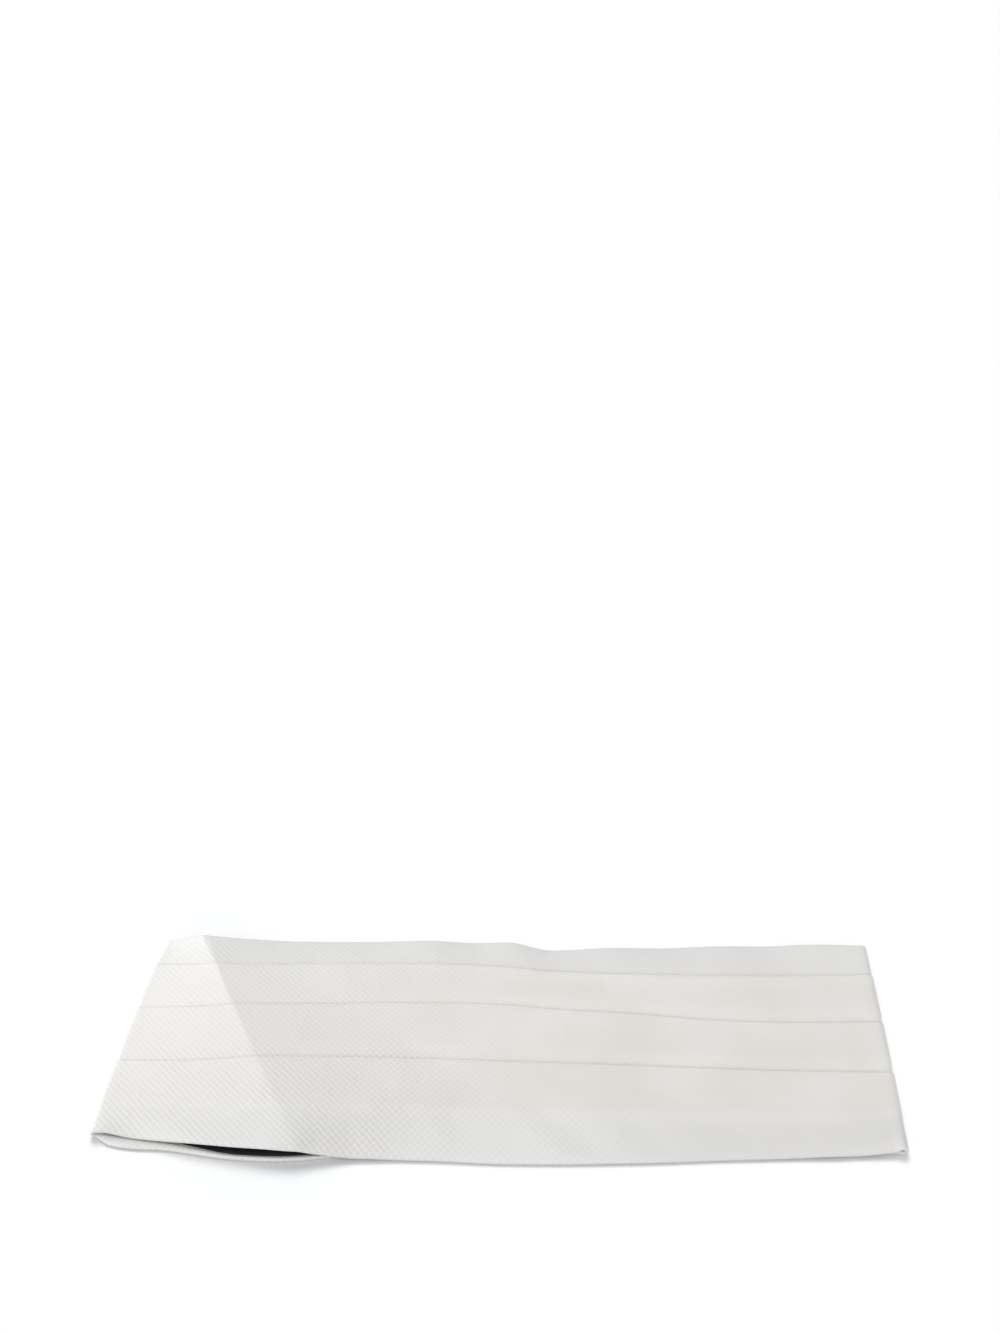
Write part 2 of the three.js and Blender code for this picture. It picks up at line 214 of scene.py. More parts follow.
# How far each pleat's folded edge gapes along the front, as shares of the widest gape
GAPE_TABLE = Table(
    ("along", "low_fold", "mid_fold", "top_fold"),
    (
        (0.00, 0.15, 0.10, 0.45), (0.10, 0.25, 0.15, 0.20), (0.30, 0.30, 0.15, 0.15),
        (0.50, 0.35, 0.15, 0.45), (0.62, 0.35, 0.20, 1.00), (0.80, 0.25, 0.20, 0.85),
        (1.00, 0.25, 0.20, 0.60),
    ),
)

# How far the near edge sags along the front, as shares of the deepest sag
SAG_TABLE = Table(
    ("along", "drop"),
    (
        (0.000, 0.00), (0.035, 0.75), (0.070, 0.50), (0.100, 0.15), (0.140, 0.00), (0.200, 0.00),
        (0.235, 0.40), (0.265, 1.00), (0.300, 1.00), (0.340, 0.50), (0.400, 0.00), (0.880, 0.00),
        (0.940, 0.65), (0.980, 0.60), (1.000, 0.00),
    ),
)

# Waves of the far edge along the front, as shares of the highest wave
FAR_WAVE_TABLE = Table(
    ("along", "lift"),
    (
        (0.00, 0.0), (0.06, 0.2), (0.30, 0.0), (0.39, 0.9), (0.45, 0.0), (0.51, 1.0), (0.57, 0.1),
        (0.64, 0.7), (0.72, 0.1), (0.79, 0.8), (0.87, 0.2), (0.93, 0.5), (1.00, 0.0),
    ),
)

# Soft valleys pressed into the single ply near the near edge: the two ends of each valley as shares
# of the folded length and of the worn height from the middle, its half width and its depth as
# shares of the widest and the deepest one
PUCKERS = (
    # along, up, along, up, half width, depth
    (0.530, -0.285, 0.604, -0.450, 1.05, 0.85),
    (0.650, -0.330, 0.690, -0.450, 1.10, 0.55),
    (0.425, -0.360, 0.455, -0.450, 0.90, 0.25),
    (0.760, -0.350, 0.800, -0.440, 1.20, 0.25),
)


@dataclass(frozen=True)
class Station:
    """A place along the loop.

    Attributes:
        zone: the stretch that it lies in.
        end: the end fold that it belongs to, for a tail or a fold.
        share: how far along its tail, facet or flank it lies.
        turn: the angle round the end fold, from below (-90 degrees) to above.
        left_of_crease: for the front, whether it lies on the facet left of the crease.
        relief: 0 where the cloth lies pressed under the loop, 1 on the front.
    """

    zone: Zone
    end: End = End.LEFT
    share: float = 0.0
    turn: float = 0.0
    left_of_crease: bool = False
    relief: float = 1.0


@dataclass(frozen=True)
class Row:
    """A place across the cloth, on one of its plies.

    Attributes:
        across: the place counted in marks.
        inset: a further step along +Y.
        pressed: offset from the loop's reference surface where the cloth lies pressed.
        raised: offset on the front.
        gape: how much of its pleat's gape it takes up.
        mark: the pleat's mark.
        turned: whether the ply runs back under the one above it.
        taken_up: the length of cloth that the pleats before it take up.
    """

    across: float
    inset: float
    pressed: float
    raised: float
    gape: float = 0.0
    mark: int = 0
    turned: bool = False
    taken_up: float = 0.0


@dataclass(frozen=True)
class FoldedLoop:
    """The surface between the outer cloth and the lining, all the way round the folded loop."""

    folded_length: float
    front_height: float
    tail_length: float
    strap_width: float
    clasp_top: float
    shift: Vector
    left_slant: float = 14 * MM
    right_slant: float = 8 * MM
    left_bow: float = 2.5 * MM
    left_roll: float = 2.0 * MM
    right_roll: float = 1.0 * MM

    # The crease: its height, how far it falls off to the right, and where across it grows steeper
    ridge_lift: float = 5.0 * MM
    ridge_fall: float = 62 * MM
    near_ridge_fall: float = 125 * MM
    flank_curve: float = 1.8
    near_flank_curve: float = 1.2
    facet_curve: float = 1.3
    ridge_round: float = 0.035
    steep_span: Span = (0.05, 0.75)
    crest_flat: float = 0.06
    crest_flat_span: Span = (0.72, 1.0)

    # The edges: how far across they come down, the near edge's sag, the far edge's waves, the near
    # hem's extra width beside the left fold, and the widest gape of a pleat
    underfold_share: float = 0.47
    edge_curve: float = 1.3
    corner_sag: float = 2.6 * MM
    sag_curve: float = 2.8
    far_wave: float = 1.6 * MM
    wide_hem: float = 1.9
    wide_hem_span: Span = (0.05, 0.42)
    gape: float = 0.95 * MM

    # The soft valleys: where each begins and ends along its own line, and where across they show
    pucker_depth: float = 0.55 * MM
    pucker_width: float = 7 * MM
    pucker_start: Span = (-0.35, 0.25)
    pucker_end: Span = (0.75, 1.45)
    pucker_near: Span = (0.0, 0.14)
    pucker_far: Span = (0.40, 0.66)
    swell_height: float = 0.7
    swell_place: float = 1.7

    # The slow unevenness: size along, size across and slice of the noise, and where it fades out
    soft_wave: float = 0.28 * MM
    wide_ripple: tuple[float, ...] = (0.052, 0.030, 2.5)
    fine_ripple: tuple[float, ...] = (0.019, 0.013, 7.5)
    fine_share: float = 0.35
    laid_share: float = 0.6
    left_calm: float = 0.05
    right_calm: float = 0.04

    # How much closer the steps get towards the crease
    facet_spacing: float = 1.25
    flank_spacing: float = 1.3

    @classmethod
    def from_frame(cls) -> "FoldedLoop":
        """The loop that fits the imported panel, strap and clasp.

        Returns:
            The loop, with its sizes worked out from their boxes.
        """
        low, high = (Vector(corner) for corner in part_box("pleated_panel"))
        strap_low, strap_high = (Vector(corner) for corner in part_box("waist_strap"))
        clasp_top = Vector(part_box("clasp")[1]).z
        folded_length = high.x - low.x - (cls.left_slant + cls.right_slant) / 2
        near = min(row[1] for row in FRONT_TABLE.rows)
        far = max(row[5] for row in FRONT_TABLE.rows)
        front_height = (high.y - low.y) / (far - near)
        shift = Vector((low.x + (folded_length + cls.left_slant) / 2, low.y - near * front_height, 0))
        tail_length = (folded_length + 2 * STRAP_TUCK - (strap_high.x - strap_low.x)) / 2
        strap_width = strap_high.y - strap_low.y
        return cls(folded_length, front_height, tail_length, strap_width, clasp_top, shift)

    @property
    def cloth_out(self) -> float:
        """Offset of the outer cloth's outside."""
        return PIECE_GAP / 2 + CLOTH_WALL

    @property
    def hem_in(self) -> float:
        """Offset of the turned hem's inside."""
        return -PIECE_GAP / 2 - LINING_WALL - HEM_PROUD

    @property
    def tail_level(self) -> float:
        """Height of the reference surface in the tails."""
        return self.cloth_out

    @property
    def front_level(self) -> float:
        """Height of the reference surface in the front, above the tails, the strap and the clasp."""
        return max(self.cloth_out - self.hem_in, self.clasp_top) + REST_GAP - self.hem_in

    @property
    def fold_radius(self) -> float:
        """Radius of the reference surface round an end fold."""
        return (self.front_level - self.tail_level) / 2

    @property
    def tail_run(self) -> float:
        """Length of a tail from its fold to its end."""
        return self.tail_length - self.fold_radius - self.cloth_out

    @property
    def lining_end(self) -> float:
        """Share of a tail that the lining covers, up to the strap's tucked end."""
        return 1 - (STRAP_TUCK + PIECE_GAP) / self.tail_run

    @property
    def flat_length(self) -> float:
        """Length of the cloth all the way along the loop, with the folds opened out."""
        front = self.folded_length - 2 * (self.fold_radius + self.cloth_out)
        return front + 2 * (math.pi * self.fold_radius + self.tail_run)

    def between_marks(self, values: tuple[float, ...], across: float) -> float:
        """Value between those of the marks on both sides."""
        k = min(int(math.floor(across)), FAR_MARK - 1)
        return mix(values[k], values[k + 1], across - k)

    def fold_lean(self, end: End, width: float) -> float:
        """How far a fold leans and bulges away from its middle.

        Args:
            end: the end fold.
            width: the place across, as a share of the width.

        Returns:
            The distance along X.
        """
        if end is End.LEFT:
            return self.left_slant * (width - 0.5) - self.left_bow * 4 * width * (1 - width)
        return self.right_slant * (width - 0.5)

    def fold_x(self, end: End, width: float) -> float:
        """Where the front goes over into an end fold.

        Args:
            end: the end fold.
            width: the place across, as a share of the width.

        Returns:
            The place along X.
        """
        half = self.folded_length / 2 - self.fold_radius - self.cloth_out
        roll = self.left_roll if end is End.LEFT else self.right_roll
        return end.value * (half + roll) + self.fold_lean(end, width)

    def tail_x(self, end: End, share: float, width: float) -> float:
        """Place along a tail, whose lean fades out on the way to the strap.

        Args:
            end: the end fold that the tail hangs on.
            share: how far along the tail, from its fold.
            width: the place across, as a share of the width.

        Returns:
            The place along X.
        """
        fading = max(0.0, 1 - share / self.lining_end)
        fold = self.fold_x(end, width)
        start = self.folded_length / 2 - self.tail_length
        straight = end.value * (start + self.tail_run * (1 - share))
        return straight + (fold - end.value * (start + self.tail_run)) * fading

    def ridge_x(self, width: float) -> float:
        """Where the crease at the left runs."""
        return (RIDGE_TABLE.read("along", width) - 0.5) * self.folded_length

    def front_y(self, x: float, across: float) -> float:
        """Place across the worn height, on the front.

        Args:
            x: place along the front.
            across: place across it, counted in marks.

        Returns:
            The place along Y.
        """
        along = x / self.folded_length + 0.5
        k = min(int(math.floor(across)), FAR_MARK - 1)
        low = FRONT_TABLE.read(MARKS[k], along)
        high = FRONT_TABLE.read(MARKS[k + 1], along)
        return self.front_height * mix(low, high, across - k)

    def ridge_height(self, x: float, width: float) -> float:
        """Height that the crease adds: a facet up from the left fold and a hollow flank right of it.

        Args:
            x: place along the front.
            width: the place across, as a share of the width.

        Returns:
            The height to add.
        """
        crest = self.ridge_x(width)
        start = self.fold_x(End.LEFT, width)
        up = max(0.0, (x - start) / (crest - start)) ** self.facet_curve
        steep = smooth_step(*self.steep_span, width)
        curve = mix(self.near_flank_curve, self.flank_curve, steep)
        fall = mix(self.near_ridge_fall, self.ridge_fall, steep)
        down = max(0.0, 1 - (x - crest) / fall) ** curve
        gap = abs(up - down) / self.ridge_round
        rounded = min(up, down) - self.ridge_round * max(0.0, 1 - gap) ** 2 / 4
        flat_top = 1 - self.crest_flat * smooth_step(*self.crest_flat_span, width)
        return self.ridge_lift * RIDGE_TABLE.read("lift", width) * min(flat_top, max(0.0, rounded))

    def pucker_height(self, x: float, y: float) -> float:
        """Depth of the soft valleys in the single ply, with a low swell beside each.

        Args:
            x: place along the front.
            y: place across the front.

        Returns:
            The height to add, below 0 in a valley.
        """
        height = 0.0
        for along_a, up_a, along_b, up_b, width, depth in PUCKERS:
            start = Vector(((along_a - 0.5) * self.folded_length, up_a * self.front_height))
            end = Vector(((along_b - 0.5) * self.folded_length, up_b * self.front_height))
            axis = end - start
            place = Vector((x, y)) - start
            share = place.dot(axis) / axis.length_squared
            away = (place - axis * share).length * (1 if place.cross(axis) > 0 else -1)
            reach = smooth_step(*self.pucker_start, share) * (1 - smooth_step(*self.pucker_end, share))
            spread = away / (width * self.pucker_width)
            valley = math.exp(-spread * spread)
            swell = self.swell_height * math.exp(-((spread - self.swell_place) ** 2))
            height += depth * reach * (swell - valley)
        return self.pucker_depth * height

    @staticmethod
    def ripple(x: float, y: float, size: tuple[float, ...]) -> float:
        """Soft noise of a size along and across."""
        return noise.noise(Vector((x / size[0], y / size[1], size[2])))

    def soft_height(self, x: float, y: float, held_up: float) -> float:
        """Slow unevenness of the laid cloth.

        Args:
            x: place along the front.
            y: place across the front.
            held_up: 1 where the cloth is held up, 0 where it is down on the surface.

        Returns:
            A height to add, never below the surface that the cloth lies on.
        """
        fine = self.fine_share * self.ripple(x, y, self.fine_ripple)
        wave = self.soft_wave * (self.ripple(x, y, self.wide_ripple) + fine)
        return wave * held_up + abs(wave) * (1 - held_up) * self.laid_share

    def front_z(self, x: float, y: float, across: float, width: float) -> float:
        """Height of the front's reference surface, with its crease, waves and valleys.

        Args:
            x: place along the front.
            y: place across the front.
            across: the same place counted in marks.
            width: the same place as a share of the width.

        Returns:
            The place along Z.
        """
        along = x / self.folded_length + 0.5
        fall = self.front_level + self.hem_in
        near_share = max(0.0, 1 - across / self.underfold_share) ** self.edge_curve
        far_share = max(0.0, across - FAR_MARK + 1) ** self.edge_curve
        near_drop = FRONT_TABLE.read("near_down", along) * near_share
        far_drop = FRONT_TABLE.read("far_down", along) * far_share
        height = self.front_level - fall * (near_drop + far_drop)
        height += self.ridge_height(x, width) * (1 - near_drop)
        height += self.far_wave * FAR_WAVE_TABLE.read("lift", along) * far_share
        height -= self.corner_sag * SAG_TABLE.read("drop", along) * near_share ** self.sag_curve
        right_wave = smooth_step(0.0, self.right_calm, 1 - along)
        off_folds = min(smooth_step(0.0, self.left_calm, along), right_wave)
        height += off_folds * self.soft_height(x, y, 1 - max(near_drop, far_drop))
        if across < 1:
            reach = smooth_step(*self.pucker_near, across) * (1 - smooth_step(*self.pucker_far, across))
            height += off_folds * reach * self.pucker_height(x, y)
        return height

    def hem_spread(self, station: Station) -> float:
        """How much wider the near hem is turned in the left tail, next to its fold.

        Args:
            station: the place along the loop.

        Returns:
            The share of the usual width.
        """
        if station.end is not End.LEFT or station.zone is Zone.FRONT:
            return 1.0
        if station.zone is Zone.FOLD:
            return 1 + self.wide_hem * (1 - station.relief)
        return 1 + self.wide_hem * (1 - smooth_step(*self.wide_hem_span, station.share))

    def place(self, station: Station, row: Row) -> tuple[Vector, tuple[float, float]]:
        """A point of a cloth ply and its place on the flat cloth.

        Args:
            station: the place along the loop.
            row: the place across the cloth.

        Returns:
            The point in the frame, and how far along and across the unrolled cloth it lies.
        """
        inset = row.inset * self.hem_spread(station) if row.across == 0 else row.inset
        width = self.between_marks(MARK_SHARES, row.across) + inset / self.front_height
        offset = mix(row.pressed, row.raised, station.relief)
        if station.zone is Zone.FRONT:
            start = self.fold_x(End.LEFT, width) if station.left_of_crease else self.ridge_x(width)
            end = self.ridge_x(width) if station.left_of_crease else self.fold_x(End.RIGHT, width)
            x = mix(start, end, station.share)
            y = self.front_y(x, row.across)
            z = self.front_z(x, y, row.across, width) + offset
            unrolled = x
        else:
            centre = self.fold_x(station.end, width)
            y = self.front_y(centre, row.across)
            side = station.end.value
            if station.zone is Zone.FOLD:
                radius = self.fold_radius + offset
                x = centre + side * radius * math.cos(station.turn)
                z = self.tail_level + self.fold_radius + radius * math.sin(station.turn)
                unrolled = centre + side * (math.pi / 2 - station.turn) * self.fold_radius
            else:
                y = self._tail_y(station, centre, y)
                x = self.tail_x(station.end, station.share, width)
                z = self.tail_level - offset
                unrolled = centre + side * math.pi * self.fold_radius + (centre - x)
        if row.gape:
            along = x / self.folded_length + 0.5
            gape = self.gape * GAPE_TABLE.read(MARKS[row.mark], along)
            z += row.gape * gape * station.relief ** 2
        flat_y = y + inset
        if row.turned:
            turn_y = self.front_y(x, row.mark) if station.zone is Zone.FRONT else y
            flat_y = 2 * turn_y - flat_y
        return Vector((x, y + inset, z)) + self.shift, (unrolled, flat_y + row.taken_up)

    def _tail_y(self, station: Station, centre: float, y: float) -> float:
        """Place across a tail, which narrows from the end fold to the strap's pocket.

        Args:
            station: the place along the tail.
            centre: the place along X where its fold begins.
            y: the place across at the fold.

        Returns:
            The place along Y.
        """
        table = TAIL_TABLES[station.end]
        pocket = self.strap_width / 2 + PIECE_GAP + HEM_TURN
        fold_near = self.front_y(centre, 0)
        fold_far = self.front_y(centre, FAR_MARK)
        near = mix(fold_near, -pocket, table.read("near_in", station.share))
        far = mix(fold_far, pocket, table.read("far_in", station.share))
        return mix(near, far, (y - fold_near) / (fold_far - fold_near))

    def stations(self, last_share: float, tail: int, fold: int, facet: int, flank: int) -> list[Station]:
        """Every station of the loop, from the end of the left tail to the end of the right one.

        Args:
            last_share: the share of each tail that is covered.
            tail: steps along each tail.
            fold: steps round each end fold.
            facet: steps from the left fold to the crease.
            flank: steps from the crease to the right fold.

        Returns:
            The stations in order.
        """
        tails = {}
        folds = {}
        for end in End:
            shares = [last_share * (k + 1) / tail for k in range(tail)]
            tails[end] = [Station(Zone.TAIL, end, share=share, relief=0.0) for share in shares]
            turns = [-math.pi / 2 + math.pi * k / fold for k in range(fold + 1)]
            reliefs = [((1 + math.sin(turn)) / 2) ** 2 for turn in turns]
            folds[end] = [
                Station(Zone.FOLD, end, turn=turn, relief=relief) for turn, relief in zip(turns, reliefs)
            ]
        up = [1 - (1 - (k + 1) / facet) ** self.facet_spacing for k in range(facet)]
        down = [((k + 1) / flank) ** self.flank_spacing for k in range(flank - 1)]
        front = [Station(Zone.FRONT, share=share, left_of_crease=True) for share in up]
        front += [Station(Zone.FRONT, share=share) for share in down]
        left = tails[End.LEFT][::-1] + folds[End.LEFT]
        return left + front + folds[End.RIGHT][::-1] + tails[End.RIGHT]


def add_object(name: str, data: bpy.types.ID) -> bpy.types.Object:
    """Adds an object to the scene.

    Args:
        name: the object's name.
        data: its mesh, light or camera.

    Returns:
        The new object.
    """
    obj = bpy.data.objects.new(name, data)
    bpy.context.scene.collection.objects.link(obj)
    return obj


def mesh_object(name: str, points: list, edges: list, faces: list) -> bpy.types.Object:
    """Adds a mesh object to the scene.

    Args:
        name: the object's name.
        points: the places of its vertices.
        edges: its edges, where it has no faces.
        faces: its faces.

    Returns:
        The new object.
    """
    mesh = bpy.data.meshes.new(name)
    mesh.from_pydata(points, edges, faces)
    return add_object(name, mesh)


def settle(obj: bpy.types.Object) -> bpy.types.Object:
    """Turns an object's modifiers into a plain mesh.

    Args:
        obj: the object, whose modifiers are used up.

    Returns:
        The same object.
    """
    depsgraph = bpy.context.evaluated_depsgraph_get()
    mesh = bpy.data.meshes.new_from_object(obj.evaluated_get(depsgraph), depsgraph=depsgraph)
    obj.modifiers.clear()
    old = obj.data
    obj.data = mesh
    mesh.name = obj.name
    bpy.data.meshes.remove(old)
    return obj


def sheet_object(
    name: str, loop: FoldedLoop, stations: list[Station], rows: list[Row], thickness: float
) -> tuple[bpy.types.Object, float]:
    """A sheet of cloth with its thickness, and its place on the flat cloth as its UV map.

    Args:
        name: the object's name.
        loop: the loop that the sheet follows.
        stations: the places along the loop.
        rows: the places across the cloth.
        thickness: the cloth's thickness, half of it to each side.

    Returns:
        The new object, and the area of the cloth.
    """
    placed = [loop.place(station, row) for station in stations for row in rows]
    across = len(rows)
    starts = [s * across + r for s in range(len(stations) - 1) for r in range(across - 1)]
    faces = [(a, a + across, a + across + 1, a + 1) for a in starts]
    obj = mesh_object(name, [point for point, _ in placed], [], faces)
    layer = obj.data.uv_layers.new(name="flat_cloth")
    for corner in obj.data.loops:
        layer.data[corner.index].uv = placed[corner.vertex_index][1]
    obj.data.shade_smooth()
    area = sum(face.area for face in obj.data.polygons)
    wall = obj.modifiers.new("cloth_thickness", "SOLIDIFY")
    wall.thickness = thickness
    wall.offset = 0
    wall.use_rim = True
    return settle(obj), area


def tube_faces(rings: int, count: int, closed: bool) -> list[tuple[int, ...]]:
    """Faces that join rings of points into a tube.

    Args:
        rings: the number of rings.
        count: the number of points on each ring.
        closed: whether the last ring joins the first.

    Returns:
        The faces, each as the numbers of its corners.
    """
    faces = []
    for k in range(rings if closed else rings - 1):
        near = k * count
        far = (k + 1) % rings * count
        for n in range(count):
            beside = (n + 1) % count
            faces.append((near + n, near + beside, far + beside, far + n))
    return faces


def face_outwards(obj: bpy.types.Object) -> bpy.types.Object:
    """Turns a closed shell's faces outwards, if its volume comes out negative.

    Args:
        obj: the closed shell.

    Returns:
        The same object.
    """
    mesh = obj.data
    mesh.calc_loop_triangles()
    volume = 0.0
    for triangle in mesh.loop_triangles:
        a, b, c = (mesh.vertices[index].co for index in triangle.vertices)
        volume += a.dot(b.cross(c)) / 6
    if volume < 0:
        mesh.flip_normals()
    return obj


@dataclass(frozen=True)
class Ramp:
    """A value that changes evenly between two places and stays level beyond them."""

    start: float
    end: float
    first: float
    last: float


class NodeTree:
    """Short ways to add and join nodes in a material, a shader group or a geometry tree."""

    def __init__(self, tree: bpy.types.NodeTree) -> None:
        """Starts from an empty tree."""
        self.tree = tree
        self.tree.nodes.clear()

    def add(self, kind: str, **settings: object) -> bpy.types.Node:
        """Adds a node.

        Args:
            kind: the node's type name.
            settings: its properties by name.

        Returns:
            The new node.
        """
        node = self.tree.nodes.new(kind)
        for name, value in settings.items():
            setattr(node, name, value)
        return node

    def join(self, source: bpy.types.NodeSocket, target: bpy.types.NodeSocket) -> None:
        """Links an output to an input."""
        self.tree.links.new(source, target)

    def feed(self, node: bpy.types.Node, **inputs: object) -> bpy.types.Node:
        """Sets or links a node's inputs.

        Args:
            node: the node.
            inputs: input names with _ for spaces, or in_0, in_1 by number; a socket is linked and
                anything else is set.

        Returns:
            The same node.
        """
        for name, value in inputs.items():
            key = int(name[3:]) if name.startswith("in_") else name.replace("_", " ")
            if isinstance(value, bpy.types.NodeSocket):
                self.join(value, node.inputs[key])
            else:
                node.inputs[key].default_value = value
        return node

    def math(self, operation: str, first: object, second: object = 0.0) -> bpy.types.NodeSocket:
        """Output of a Math node."""
        node = self.add("ShaderNodeMath", operation=operation)
        return self.feed(node, in_0=first, in_1=second).outputs[0]

    def total(self, *parts: tuple[object, object]) -> bpy.types.NodeSocket:
        """Adds up values by their shares.

        Args:
            parts: each value with its share.

        Returns:
            The sum.
        """
        total = 0.0
        for value, share in parts:
            total = self.math("ADD", total, self.math("MULTIPLY", value, share))
        return total

    def remap(self, value: object, ramp: Ramp) -> bpy.types.NodeSocket:
        """Output of a Map Range node that follows a ramp."""
        node = self.feed(self.add("ShaderNodeMapRange", clamp=True), in_0=value, in_1=ramp.start)
        return self.feed(node, in_2=ramp.end, in_3=ramp.first, in_4=ramp.last).outputs[0]

    def blend(self, share: object, first: object, second: object) -> bpy.types.NodeSocket:
        """Output of a Mix node for colours."""
        node = self.add("ShaderNodeMix", data_type="RGBA", blend_type="MIX")
        return self.feed(node, in_0=share, in_6=first, in_7=second).outputs[2]

    def split(self, vector: bpy.types.NodeSocket) -> bpy.types.NodeOutputs:
        """Outputs X, Y and Z of a vector."""
        return self.feed(self.add("ShaderNodeSeparateXYZ"), in_0=vector).outputs

    def noise(self, place: object, scale: object, detail: float, ramp: Ramp) -> bpy.types.NodeSocket:
        """Soft noise, spread over a ramp."""
        node = self.add("ShaderNodeTexNoise", noise_dimensions="3D")
        return self.remap(self.feed(node, Vector=place, Scale=scale, Detail=detail).outputs[0], ramp)

    def bump(self, height: object, depth: float) -> bpy.types.NodeSocket:
        """The normal that a height gives."""
        return self.feed(self.add("ShaderNodeBump"), Strength=1.0, Distance=depth, Height=height).outputs[0]

    def use(self, group: bpy.types.NodeTree, place: object, **inputs: float) -> bpy.types.NodeOutputs:
        """Outputs of a shared group, with its own values."""
        return self.feed(self.add("ShaderNodeGroup", node_tree=group), Place=place, **inputs).outputs


NUMBER = "NodeSocketFloat"
VECTOR = "NodeSocketVector"
GEOMETRY = "NodeSocketGeometry"
MATERIAL = "NodeSocketMaterial"


def new_group(
    kind: str, name: str, inputs: dict[str, object], outputs: dict[str, str]
) -> tuple[NodeTree, bpy.types.Node, bpy.types.Node]:
    """A new node group with its sockets.

    Args:
        kind: the group's type name.
        name: the group's name.
        inputs: input names with their usual numbers, or with their types if they aren't numbers.
        outputs: output names with their types.

    Returns:
        The tree, its input node and its output node.
    """
    group = bpy.data.node_groups.new(name, kind)
    for label, given in inputs.items():
        is_type = isinstance(given, str)
        socket_type = given if is_type else NUMBER
        socket = group.interface.new_socket(name=label, in_out="INPUT", socket_type=socket_type)
        if not is_type:
            socket.default_value = given
    for label, socket_type in outputs.items():
        group.interface.new_socket(name=label, in_out="OUTPUT", socket_type=socket_type)
    tree = NodeTree(group)
    return tree, tree.add("NodeGroupInput"), tree.add("NodeGroupOutput")


# The part of the noise's range that nearly all of it lies in, spread from 0 to 1 and over the
# distance that a rib wanders
NOISE_TONES = Ramp(0.3, 0.7, 0.0, 1.0)
RIB_WANDER = Ramp(0.3, 0.7, -0.35 * MM, 0.35 * MM)
RIB_FULLNESS = 0.7
GROOVE_SHARPNESS = 3.0


def twill_group() -> bpy.types.NodeTree:
    """Rounded ribs on the diagonal, for every twill cloth.

    Returns:
        A group with the inputs Place, Pitch and Lean, and the outputs Height and Groove.
    """
    inputs = {"Place": VECTOR, "Pitch": 2.7 * MM, "Lean": 1.0}
    outputs = {"Height": NUMBER, "Groove": NUMBER}
    tree, given, result = new_group("ShaderNodeTree", "twill_ribs", inputs, outputs)
    place = tree.split(given.outputs["Place"])
    diagonal = tree.math("ADD", place["X"], tree.math("MULTIPLY", place["Y"], given.outputs["Lean"]))
    wander = tree.noise(given.outputs["Place"], scale=90.0, detail=2.0, ramp=RIB_WANDER)
    run = tree.math("MULTIPLY", tree.math("ADD", diagonal, wander), 2 * math.pi * math.sqrt(0.5))
    turns = tree.math("DIVIDE", run, given.outputs["Pitch"])
    wave = tree.math("MULTIPLY_ADD", tree.math("SINE", turns), 0.5)
    wave.node.inputs[2].default_value = 0.5
    groove_shade = tree.math("POWER", tree.math("SUBTRACT", 1.0, wave), GROOVE_SHARPNESS)
    tree.feed(result, Height=tree.math("POWER", wave, RIB_FULLNESS), Groove=groove_shade)
    return tree.tree


def unevenness_group() -> bpy.types.NodeTree:
    """Slow and fine unevenness of tone, as handling and light wear leave on every finish.

    Returns:
        A group with the inputs Place, Size and Speck, and the outputs Slow and Fine, from 0 to 1.
    """
    inputs = {"Place": VECTOR, "Size": 20.0, "Speck": 900.0}
    outputs = {"Slow": NUMBER, "Fine": NUMBER}
    tree, given, result = new_group("ShaderNodeTree", "unevenness", inputs, outputs)
    place = given.outputs["Place"]
    slow = tree.noise(place, scale=given.outputs["Size"], detail=3.0, ramp=NOISE_TONES)
    fine = tree.noise(place, scale=given.outputs["Speck"], detail=2.0, ramp=NOISE_TONES)
    tree.feed(result, Slow=slow, Fine=fine)
    return tree.tree


@dataclass(frozen=True)
class SharedEffects:
    """The shader groups that more than one finish uses."""

    twill: bpy.types.NodeTree
    unevenness: bpy.types.NodeTree

    @classmethod
    def build(cls) -> "SharedEffects":
        """Builds each group once."""
        return cls(twill_group(), unevenness_group())


def new_material(name: str) -> tuple[bpy.types.Material, NodeTree, bpy.types.Node]:
    """A new material with one Principled shader.

    Args:
        name: the material's name.

    Returns:
        The material, its tree and its shader, which is joined to the output.
    """
    material = bpy.data.materials.new(name)
    material.use_nodes = True
    tree = NodeTree(material.node_tree)
    shader = tree.add("ShaderNodeBsdfPrincipled")
    tree.join(shader.outputs[0], tree.add("ShaderNodeOutputMaterial").inputs[0])
    return material, tree, shader


class Finish:
    """What every finish has in common: its name and how its material is built."""

    name = "finish"

    def build(self, effects: SharedEffects) -> bpy.types.Material:
        """Builds the material.

        Args:
            effects: the shared shader groups.

        Returns:
            The material.
        """
        material, tree, shader = new_material(self.name)
        tree.feed(shader, **self.looks(tree, effects))
        return material

    def looks(self, tree: NodeTree, effects: SharedEffects) -> dict[str, object]:
        """The shader's inputs by name, which each finish works out in its own way."""
        raise NotImplementedError


